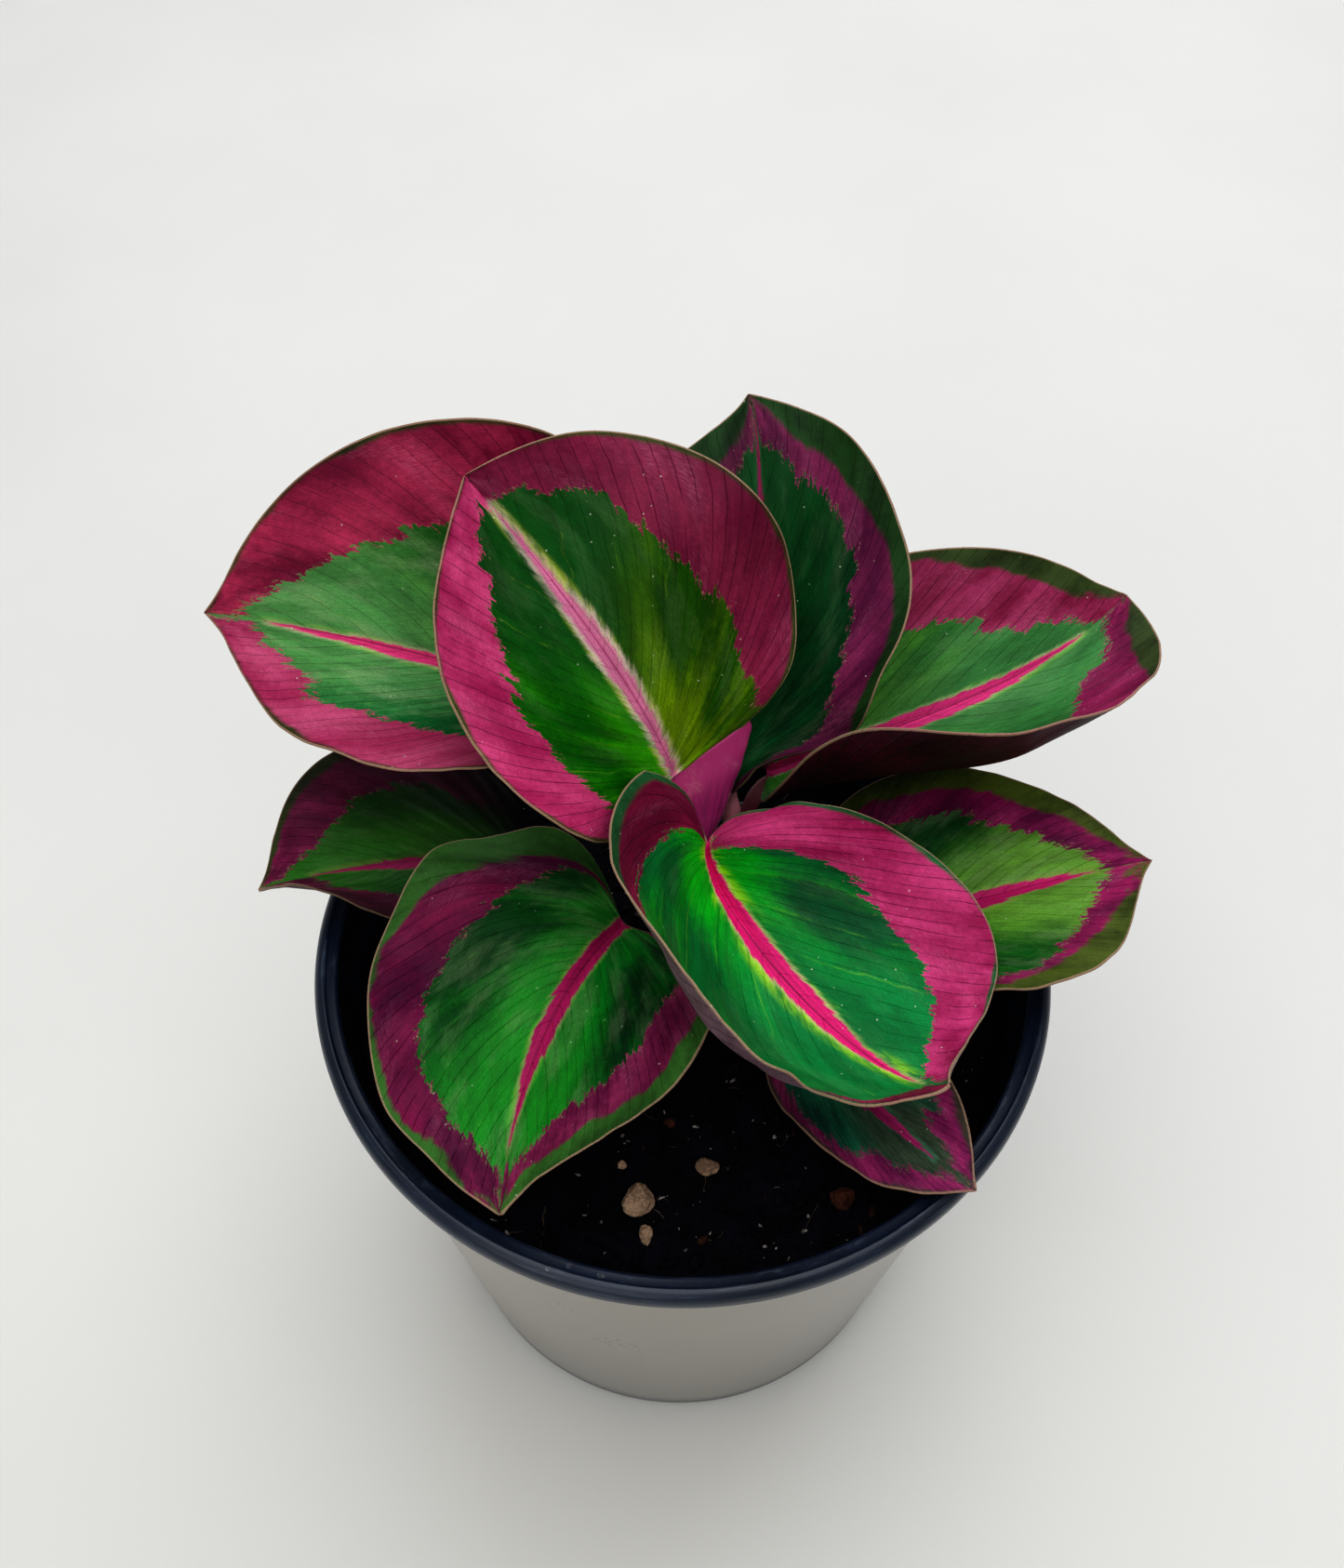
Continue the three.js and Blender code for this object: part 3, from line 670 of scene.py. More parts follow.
@dataclass(frozen=True)
class BladePaint:
    """How the upper side of one blade is painted.

    Args:
        left, right: colours of its halves, which differ partly in their own colour and partly by
        painted light and sheen.
        tip_green: what the green turns to towards the tip.
        glow, glow_reach: yellow-green beside the midrib and on the large veins, and how far it
            reaches in millimetres.
        rim: the green patches at the margin.
        stripe, halo: the painted midrib and its feathered edge.
        patches: how unevenly the margin patches reach in, in millimetres.
        painted_sheen: strength of the painted sheen, a pale grey-green highlight, on the green.
        feather: length of the barbs at the stripe's edge, in millimetres.
        lines: strength of the dark vein lines on the band.
        crease: the thin line in the middle of the stripe.
        shade: painted shade at the base, where other blades shadow it, as how much darker the
            paint is there; below 0 it paints light there instead.
        shade_to: vein at which that painted shade or light ends.
        green_steps: number, height and crinkle of the steps in the green's edge.
        stripe_steps: number and height of the steps in the stripe's edge.
    """

    left: HandPaint
    right: HandPaint
    tip_green: str
    glow: str
    glow_reach: float
    rim: str
    stripe: str
    halo: str
    patches: float = 0.8
    painted_sheen: float = 0.15
    feather: float = 0.3
    lines: float = 0.55
    crease: str = "6b1036"
    shade: float = 0.0
    shade_to: float = 0.5
    green_steps: Triple = (8.0, 2.4, 2.1)
    stripe_steps: tuple[float, float] = (19.0, 0.55)

    def build(self, name: str, groups: Groups, seed: float) -> Material:
        """The upper side: rose band, stepped green middle, painted midrib, green margin.

        Args:
            name: the material's name.
            groups: the shared shader groups.
            seed: the leaf's number.

        Returns:
            The material.
        """
        g = BladeSurface(name, groups, seed)
        rim_in = g.plus(g.rim_mm, g.times(g.minus(g.patchy, 0.5), 3.2 * self.patches))
        painted = g.mix(g.smooth(rim_in, -0.55, 0.45), self.band(g), self.margin(g))
        painted = self.with_middle(g, painted)
        painted = self.with_midrib(g, painted)
        painted = self.with_marks(g, painted)
        height = g.plus(g.times(g.hatch, 0.35), g.times(g.striae, 0.35))
        height = g.minus(height, g.times(g.fine_lines, 0.9))
        rough = g.smooth(g.plus(g.cloud, g.times(g.hatch, 0.2)), 0.3, 0.9, 0.4, 0.58)
        return g.finish(painted, rough, g.bump(height, 0.08), {"Specular IOR Level": 0.16})

    def band(self, g: BladeSurface) -> Socket:
        """The rose band: streaked, hatched, with a painted silky highlight in patches and dark vein lines.

        Args:
            g: the blade's graph.

        Returns:
            Its colour.
        """
        rose = self.both_hands(g, "band_deep", "band", g.smooth(g.tone, 0.42, 0.74))
        rose = g.shaded(g.striae, 0.3, 0.7, 0.08, rose)
        rose = g.shaded(g.hatch, 0.3, 0.7, 0.12, rose)
        # Painted highlight: a pale silky sheen over the band in patches.
        silk = g.times(g.smooth(g.patchy, 0.48, 0.7), g.smooth(g.hatch, 0.4, 0.66, 0.1, 1.0))
        rose = g.over(rose, "e4a0bc", g.times(silk, 0.2))
        return g.over(rose, "3a0a26", g.times(g.fine_lines, self.lines))

    def margin(self, g: BladeSurface) -> Socket:
        """The green of the margin, darker in clouds."""
        return g.over(g.scale_colour(0.4, colour(self.rim)[:3]), self.rim, g.smooth(g.tone, 0.4, 0.66))

    def with_middle(self, g: BladeSurface, painted: Socket) -> Socket:
        """The paint with the green middle over it, and pale crumbs along its edge.

        The green carries painted light, shade and sheen in patches.

        Args:
            g: the blade's graph.
            painted: the colour so far.

        Returns:
            The colour.
        """
        green_in = g.stepped(g.green_mm, *self.green_steps)
        inner = g.smooth(g.stripe_mm, -10.0, -0.5, 0.0, 0.3)
        leafy = self.both_hands(g, "green_deep", "green", g.smooth(g.plus(g.tone, inner), 0.5, 0.82))
        leafy = g.over(leafy, self.tip_green, g.smooth(g.plus(g.vein, g.times(g.cloud, 0.2)), 0.62, 0.92))
        patches = g.streaked(GLOW_PATCHES)
        near_stripe = g.smooth(g.stripe_mm, -self.glow_reach, -0.1, 0.0, 0.8)
        glow = g.math("MAXIMUM", near_stripe, g.times(g.lined(8.0, 0.035), 0.22))
        leafy = g.over(leafy, self.glow, g.times(glow, g.smooth(patches, 0.44, 0.6)))
        leafy = g.over(leafy, "0b3a16", g.times(g.fine_lines, 0.14))
        leafy = g.shaded(g.hatch, 0.3, 0.7, 0.16, leafy)
        leafy = g.shaded(g.striae, 0.3, 0.7, 0.05, leafy)
        # Painted shade and light: the green darker and lighter in broad patches.
        leafy = g.scale_colour(g.smooth(patches, 0.36, 0.62, 0.78, 1.12), leafy)
        # Painted sheen: a pale grey-green highlight laid over the green in patches along the veins.
        painted_sheen = g.smooth(g.streaked(SHEEN_PATCHES), 0.46, 0.66, 0.0, self.painted_sheen)
        leafy = g.over(leafy, "98ac84", g.times(painted_sheen, g.smooth(g.hatch, 0.3, 0.65, 0.45, 1.0)))
        painted = g.mix(g.smooth(green_in, -0.07, 0.07), painted, leafy)
        fringe = g.smooth(g.math("ABSOLUTE", g.plus(green_in, 0.08)), 0.02, 0.2, 1.0, 0.0)
        crumbs = g.noise(g.object_place(), 1900.0, 2.0, 0.6)
        return g.over(painted, "c79a86", g.times(fringe, g.smooth(crumbs, 0.46, 0.62, 0.0, 0.6)))

    def with_midrib(self, g: BladeSurface, painted: Socket) -> Socket:
        """The paint with the midrib's stripe over it, its pale halo and its crease.

        Args:
            g: the blade's graph.
            painted: the colour so far.

        Returns:
            The colour.
        """
        stripe_in = g.stepped(g.stripe_mm, *self.stripe_steps, self.feather)
        halo = g.smooth(stripe_in, -0.25 - self.feather, 0.1, 0.0, 0.75)
        painted = g.over(painted, self.halo, g.times(halo, g.smooth(g.patchy, 0.38, 0.6, 0.35, 1.0)))
        silk = g.noise(g.vector(g.times(g.stripe_mm, 2.6), g.times(g.vein, 7.0), g.seed), 1.0, 3.0, 0.6)
        dark = g.scale_colour(0.68, colour(self.stripe)[:3])
        core = g.over(dark, self.stripe, g.smooth(silk, 0.34, 0.66))
        painted = g.mix(g.smooth(stripe_in, -0.05, 0.1 + 0.7 * self.feather), painted, core)
        furrow = g.smooth(g.math("ABSOLUTE", g.share), 0.002, 0.009, 1.0, 0.0)
        return g.over(painted, self.crease, g.times(g.times(furrow, g.smooth(g.stripe_mm, 0.0, 0.5)), 0.6))

    def with_marks(self, g: BladeSurface, painted: Socket) -> Socket:
        """The paint with its tan edge, pale flecks, fine grain and painted shade at the base.

        Args:
            g: the blade's graph.
            painted: the colour so far.

        Returns:
            The colour.
        """
        painted = g.over(painted, "a98c78", g.smooth(g.attribute("leaf_edge", "Fac"), 0.0, 0.1, 0.8, 0.0))
        place = g.object_place()
        dots = g.smooth(g.cells(place, 420.0).outputs["Distance"], 0.03, 0.08, 0.75, 0.0)
        painted = g.over(painted, "cfd8c4", g.times(dots, g.smooth(g.cloud, 0.47, 0.56)))
        grain = g.smooth(g.noise(place, 4200.0, 3.0, 0.7), 0.3, 0.7, 0.86, 1.14)
        # Painted shade: darker towards the base by shade, or painted light there where shade is below 0.
        shade = g.smooth(g.vein, 0.0, self.shade_to, 1.0 - self.shade, 1.0)
        return g.scale_colour(g.times(grain, shade), painted)

    def both_hands(self, g: BladeSurface, deep: str, bright: str, share: Socket) -> Socket:
        """One of the colours of the halves, from deep to bright by share."""
        pairs = ((getattr(hand, deep), getattr(hand, bright)) for hand in (self.right, self.left))
        return g.mix(g.on_left, *(g.between(share, *pair) for pair in pairs))


@dataclass(frozen=True)
class Underside:
    """The underside of a blade with raised veins: dark maroon, darkened further as painted shade,
    or a mauve copy that paints the light and sheen on a lit margin.

    Args:
        name: name of the material.
        deep, bright: the two shades of the skin.
        vein, rib, margin: colours of the fine veins, beside the midrib and at the edge.
    """

    name: str = "leaf_underside"
    deep: str = "22040f"
    bright: str = "4e1029"
    vein: str = "1c0310"
    rib: str = "702a40"
    margin: str = "a98a78"

    def build(self, groups: Groups) -> Material:
        """The shader.

        Args:
            groups: the shared shader groups.

        Returns:
            The material.
        """
        g = Surface(self.name)
        _, share, vein = g.parts(g.attribute("leaf_place"))
        cloud = groups.cloud(g, 90.0, 1100.0)
        lines = g.group(groups.lines, "Line", Vein=vein, Share=share, Count=31.0, Width=0.12, Seed=3.0)
        base = g.between(g.smooth(cloud, 0.3, 0.7), self.deep, self.bright)
        base = g.over(base, self.vein, g.times(lines, 0.5))
        base = g.over(base, self.rib, g.smooth(g.math("ABSOLUTE", share), 0.02, 0.06, 0.7, 0.0))
        base = g.over(base, self.margin, g.smooth(g.attribute("leaf_edge", "Fac"), 0.05, 0.3, 0.9, 0.0))
        normal = g.bump(g.plus(lines, g.times(cloud, 0.4)), 0.1)
        return g.finish(base, g.smooth(cloud, 0.2, 0.8, 0.4, 0.58), normal, {"Specular IOR Level": 0.3})


# Painted shade and light: the dark underside is darker than the leaf's own maroon, and the lit one is a paler
# mauve copy with painted sheen.
DARK_UNDERSIDE = Underside()
LIT_UNDERSIDE = Underside("lit_leaf_underside", "5c4450", "8c7480", "4a3440", "8a5a6a", "b89c8c")


@dataclass(frozen=True)
class StalkSkin:
    """A leaf stalk: streaks along it, with one colour at the crown, another above, and a joint.

    Args:
        name: name of the material.
        low, high, joint: colours at the crown, at the top and at the joint.
    """

    name: str
    low: str
    high: str
    joint: str

    def build(self, groups: Groups) -> Material:
        """The shader.

        Args:
            groups: the shared shader groups.

        Returns:
            The material.
        """
        g = Surface(self.name)
        along, turn, _ = g.parts(g.attribute("stalk_place"))
        streaks = g.noise(g.vector(g.times(turn, 14.0), g.times(along, 2.0)), 2.0, 4.0, 0.6)
        cloud = groups.cloud(g, 260.0, 2600.0)
        base = g.between(along, self.low, self.high)
        base = g.over(base, "3d0f20", g.smooth(streaks, 0.4, 0.7, 0.0, 0.5))
        base = g.over(base, self.joint, g.smooth(along, 0.8, 0.93))
        base = g.over(base, "d9a9a4", g.smooth(cloud, 0.54, 0.7, 0.0, 0.22))
        normal = g.bump(g.plus(streaks, g.times(cloud, 0.5)), 0.12)
        fixed = {"Sheen Weight": 0.3, "Sheen Roughness": 0.3}
        return g.finish(base, g.smooth(cloud, 0.2, 0.8, 0.4, 0.6), normal, fixed)


PLAIN_STALK = StalkSkin("leaf_stalk", "5e2a34", "8a3a4e", "b0707a")
PINK_SHEATH = StalkSkin("pink_sheath", "70144a", "a82e74", "b8407e")


# ---- blades


@dataclass(frozen=True)
class Hand:
    """One half of a blade, left or right of the midrib seen from above with the tip ahead.

    Args:
        half: half width.
        lobe: how far the half reaches behind the base.
        fold: tilt up from the midrib, in degrees at base, middle and tip.
        curl: how much further it has turned at the margin, in the same way.
        ripple: the margin's wave: height, waves and phase.
        green: share of the way to the margin that the green middle reaches, from base to tip.
        rim: share at which the green of the margin begins, from base to tip.
        stripe: half width of the painted midrib at base, middle and tip.
    """

    half: float
    lobe: float
    fold: Triple
    curl: Triple
    ripple: Triple
    green: Five
    rim: Five = (0.98, 0.985, 0.985, 0.985, 0.98)
    stripe: Triple = (0.9, 1.4, 0.9)


@dataclass(frozen=True)
class Leaf:
    """One leaf: its midrib's curve, the way its upper side looks, and its two halves.

    Args:
        name: name of the leaf, shared with its CAD nodes blade_NAME and stalk_NAME.
        seat: the stalk's place on the crown as an angle, or None in the middle.
        base, handles, tip: the four points of the midrib's curve.
        face: azimuth and elevation that the upper side looks along, at base and tip.
        widest: below 1 the widest place is nearer the base.
        pointed: above 1 the ends are narrower.
        drip: length of the drawn-out tip as a share of the blade.
        left, right: the halves.
        paint, underside: the finishes of its two sides.
        green_end, stripe_end: the vein at which the green and the midrib stripe run out.
        lead: the way the stalk comes in under the blade, where it isn't halfway between up and
            the midrib.
    """

    name: str
    seat: float | None
    base: Triple
    handles: tuple[Triple, Triple]
    tip: Triple
    face: tuple[tuple[float, float], tuple[float, float]]
    widest: float
    pointed: float
    drip: float
    left: Hand
    right: Hand
    paint: BladePaint
    green_end: float = 0.965
    stripe_end: float = 0.92
    underside: Underside = DARK_UNDERSIDE
    lead: Triple | None = None


@dataclass(frozen=True)
class BladeForm:
    """What all blades share: the vein law, thickness and relief, in millimetres.

    Args:
        rib_power, lobe_span, drip_power: the vein law of the CAD model.
        sweep, sweep_power, sweep_middle: a true vein crosses the rows forward: its number is
            row ** ((rib_power + sweep * share ** sweep_power) / sweep_middle).
        thickness: thickness of the blade.
        bead, bead_angles: how much thicker the margin is, and where the points of its half circle
            lie, in degrees.
        channel, channel_width: the groove over the midrib.
        keel, keel_width: the ridge under it.
        quilt, quilts: height and number of the soft waves between the large veins.
        buckle, buckle_size: slow unevenness of the whole blade.
        fray, fray_size: unevenness of the margin.
        rows, columns: resolution along and across each half.
    """

    rib_power: float = 1.25
    lobe_span: float = 0.13
    drip_power: float = 12
    sweep: float = 4.0
    sweep_power: float = 1.2
    sweep_middle: float = 3.42
    thickness: float = 0.36
    bead: float = 0.04
    bead_angles: tuple[float, ...] = (52, 18, -18, -52)
    channel: float = 0.3
    channel_width: float = 0.8
    keel: float = 0.75
    keel_width: float = 1.0
    quilt: float = 0.2
    quilts: float = 12
    buckle: float = 0.35
    buckle_size: float = 13.0
    fray: float = 0.22
    fray_size: float = 5.0
    rows: int = 190
    columns: int = 52


FORM = BladeForm()


class Blade:
    """Builds one blade as a closed shell and dresses it."""

    def __init__(self, leaf: Leaf, number: int) -> None:
        """Works out the midrib's curve and length.

        Args:
            leaf: the leaf.
            number: its place in the list, which seeds its noise.
        """
        self.leaf = leaf
        self.number = number
        self.curve = np.array([leaf.base, *leaf.handles, leaf.tip], float)
        steps = curve_place(self.curve, np.linspace(0, 1, 41))
        self.length = float(np.linalg.norm(np.diff(steps, axis=0), axis=1).sum())

    def frame_at(self, x: Array) -> tuple[Array, Array, Array]:
        """The frame that travels along the midrib, carried on straight past its ends.

        Args:
            x: place along the midrib, 0 at the base and 1 at the tip.

        Returns:
            Its place, the way the upper side looks, and the way to the left.
        """
        s = np.clip(x, 0, 1)
        speed = curve_speed(self.curve, s)
        place = curve_place(self.curve, s) + speed * (x - s)[..., None]
        tangent = unit(speed)
        (first, last) = (direction(*look) for look in self.leaf.face)
        look = first * (1 - s[..., None]) + last * s[..., None]
        normal = unit(look - tangent * np.sum(look * tangent, axis=-1, keepdims=True))
        return place, normal, np.cross(normal, tangent)

    def width_share(self, row: Array) -> Array:
        """Width at a row as a share of the greatest: sin(pi row^widest)^pointed."""
        return np.maximum(np.sin(np.pi * row**self.leaf.widest), 0) ** self.leaf.pointed

    def flat_place(self, hand: Hand, row: Array, share: Array) -> tuple[Array, Array]:
        """How far along and across the flat blade a point is.

        A row starts on the midrib at (1 - drip) row^1.25 and ends on the margin at
        (1 - drip) (1 - cos(pi row)) / 2, both plus drip row^12, in blade lengths. The lobe moves
        its end back by a swell that peaks near the base, and the point lies on the straight line
        between the two.

        Args:
            hand: the half.
            row: which row, in 0..1.
            share: share of the way from the midrib to the margin.

        Returns:
            The two distances in millimetres.
        """
        leaf, form = self.leaf, FORM
        drip = leaf.drip * row**form.drip_power
        start = self.length * ((1 - leaf.drip) * row**form.rib_power + drip)
        swell = (row / form.lobe_span) * np.exp(1 - row / form.lobe_span) * (1 - row)
        end = self.length * ((1 - leaf.drip) * (0.5 - 0.5 * np.cos(np.pi * row)) + drip)
        end = end - hand.lobe * swell
        return start + (end - start) * share, hand.half * self.width_share(row) * share

    def surface(self, hand: Hand, side: int, row: Array, share: Array) -> tuple[Array, Array]:
        """Places and normals of the middle surface of one half.

        Across its width the half bends as an arc: it leaves the midrib at the fold angle f and
        turns by the curl, so at y across it lies (sin(f + k y) - sin f) / k out and
        (cos f - cos(f + k y)) / k up, with k the curl over the half width.

        Args:
            hand: the half.
            side: 1 for the left half and -1 for the right.
            row, share: where, as in flat_place.

        Returns:
            (..., 3) places and (..., 3) normals of the upper side.
        """
        along, across = self.flat_place(hand, row, share)
        x = along / self.length
        place, normal, left = self.frame_at(x)
        near = np.clip(x, 0, 1)
        fold = np.radians(eased(hand.fold, near))
        bend = np.radians(eased(hand.curl, near)) / hand.half
        bend = np.where(np.abs(bend) < 1e-5, 1e-5, bend)
        turn = fold + bend * across
        out = (np.sin(turn) - np.sin(fold)) / bend
        up = (np.cos(fold) - np.cos(turn)) / bend
        height, waves, phase = hand.ripple
        wave = height * share**2 * np.sin(2 * np.pi * (waves * row + phase)) * np.sin(np.pi * row)
        sideways = left * side
        tilt = np.where(share > 0, turn, 0)[..., None]
        tilted = normal * np.cos(tilt) - sideways * np.sin(tilt)
        place = place + sideways * out[..., None] + normal * up[..., None] + tilted * wave[..., None]
        return place, tilted

    def vein_number(self, row: Array, share: Array) -> Array:
        """The true vein through a point, numbered by the row that it crosses at share 0.6."""
        power = (FORM.rib_power + FORM.sweep * share**FORM.sweep_power) / FORM.sweep_middle
        return np.clip(row, 1e-6, 1) ** power

    def relief(self, hand: Hand, side: int, row: Array, share: Array, place: Array) -> tuple[Array, Array]:
        """How far the upper and the under side stand off the smooth surface.

        Both follow soft waves between the large veins, slow noise over the blade and a frayed
        margin. The upper side has a groove over the midrib and the under side a keel below it,
        each exp(-(y / width)^2) across.

        Args:
            hand, side, row, share: where, as in surface.
            place: the places on the smooth surface.

        Returns:
            The two heights in millimetres.
        """
        form = FORM
        across = hand.half * self.width_share(row) * share
        vein = self.vein_number(row, share)
        wave_place = np.stack([vein * form.quilts, share * 1.2, np.full_like(share, side)], axis=-1)
        hills = noise(wave_place, 1.0, 2, self.number)
        body = smoothstep(share, 0.03, 0.3) * smoothstep(1 - row, 0, 0.12)
        common = form.quilt * hills * body * 1.6
        common += form.buckle * noise(place, form.buckle_size, 2, self.number) * body
        common += form.fray * noise(place, form.fray_size, 2, self.number + 7) * share**6
        taper = np.sqrt(np.clip(1 - row, 0, 1)) * smoothstep(row, 0, 0.03)
        groove = form.channel * np.exp(-((across / form.channel_width) ** 2)) * taper
        keel = form.keel * np.exp(-((across / form.keel_width) ** 2)) * taper
        return common - groove, common - keel

    def columns(self) -> Array:
        """Shares of the columns across one half: close together at the midrib and the margin."""
        s = np.linspace(0, 1, FORM.columns + 1)[1:]
        return 0.35 * s**2 + 0.65 * (1 - (1 - s) ** 1.15)

    def zones(self, hand: Hand, row: Array, share: Array) -> Array:
        """Distances inside the green middle, the midrib stripe and the margin's green.

        Args:
            hand, row, share: where, as in flat_place.

        Returns:
            (..., 3) distances in millimetres.
        """
        wide = hand.half * self.width_share(row)
        green_share = through(hand.green, row) * smoothstep(self.leaf.green_end - row, 0, 0.09)
        green = (green_share - share) * np.maximum(wide, 1.0)
        stripe_end = self.leaf.stripe_end
        ending = np.clip((stripe_end - row) / 0.34, 0, 1) ** 0.75
        gone = 2.5 * smoothstep(row, stripe_end - 0.03, stripe_end + 0.04)
        stripe = eased(hand.stripe, row) * ending - share * wide - gone
        rim = (share - through(hand.rim, row)) * np.maximum(wide, 1.0)
        return np.stack([green, stripe, rim], axis=-1)

    def half_arrays(self, hand: Hand, side: int, row: Array, shares: Array) -> dict[str, Array]:
        """What one half's vertices are made of, on a grid of rows and shares.

        Args:
            hand, side: the half, as in surface.
            row, shares: the grid's rows and columns.

        Returns:
            The places on both sides, and the values to be stored, by name.
        """
        grid_row, grid_share = np.meshgrid(row, shares, indexing="ij")
        place, normal = self.surface(hand, side, grid_row, grid_share)
        over, under = self.relief(hand, side, grid_row, grid_share, place)
        half = FORM.thickness / 2
        wide = hand.half * self.width_share(grid_row)
        vein = self.vein_number(grid_row, grid_share)
        return {
            "upper": place + normal * (half + over)[..., None],
            "under": place + normal * (under - half)[..., None],
            "place": np.stack([grid_row, side * grid_share, vein], axis=-1),
            "zones": self.zones(hand, grid_row, grid_share),
            "edge": (1 - grid_share) * wide,
        }

    def bead(self, arrays: dict[str, Array]) -> Array:
        """Round margin from the upper to the under side: a half circle about the edge's middle.

        Args:
            arrays: the half's places.

        Returns:
            (rows, points, 3) places.
        """
        upper, under = arrays["upper"], arrays["under"]
        middle = (upper[:, -1] + under[:, -1]) / 2
        outward = unit(middle - (upper[:, -2] + under[:, -2]) / 2)
        upward = (upper[:, -1] - under[:, -1]) / 2
        radius = np.linalg.norm(upward, axis=-1, keepdims=True) + FORM.bead
        angles = np.radians(FORM.bead_angles)
        rim = [middle + outward * radius * math.cos(a) + unit(upward) * radius * math.sin(a) for a in angles]
        return np.stack(rim, axis=1)

    def build(self, groups: Groups, undersides: dict[str, Material]) -> Piece:
        """The finished blade, standing for its CAD node.

        Args:
            groups: the shared shader groups.
            undersides: the materials of the undersides, by name.

        Returns:
            The piece.
        """
        leaf = self.leaf
        row = (np.arange(FORM.rows) + 0.5) / FORM.rows
        row = 0.5 * row + 0.5 * (0.5 - 0.5 * np.cos(np.pi * row))
        shares = self.columns()
        left = self.half_arrays(leaf.left, 1, row, np.concatenate([[0.0], shares]))
        right = self.half_arrays(leaf.right, -1, row, shares)
        across = {key: np.concatenate([right[key][:, ::-1], left[key]], axis=1) for key in left}
        bead_left, bead_right = self.bead(left), self.bead(right)
        upper, under = across["upper"], across["under"]
        rings = np.concatenate([upper, bead_left, under[:, ::-1], bead_right[:, ::-1]], axis=1)
        count, bead_count = upper.shape[1], bead_left.shape[1]
        slots = np.zeros(rings.shape[1], int)
        slots[count + bead_count:2 * count + bead_count - 1] = 1
        poles = (self.curve[0], self.curve[3])
        paint = leaf.paint.build(f"leaf_{leaf.name}", groups, float(self.number))
        piece = skin(f"painted_leaf_{leaf.name}", rings, poles, [paint, undersides[leaf.underside.name]], slots)
        for name, key in (("leaf_place", "place"), ("leaf_zones", "zones"), ("leaf_edge", "edge")):
            values = across[key]
            last, first = (np.repeat(values[:, [end]], bead_count, 1) for end in (-1, 0))
            ringed = np.concatenate([values, last, values[:, ::-1], first], axis=1)
            middle = count // 2
            set_attribute(piece, name, with_poles(ringed, (ringed[0, middle], ringed[-1, middle])))
        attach(piece, BODY)
        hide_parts(f"blade_{leaf.name}")
        return piece
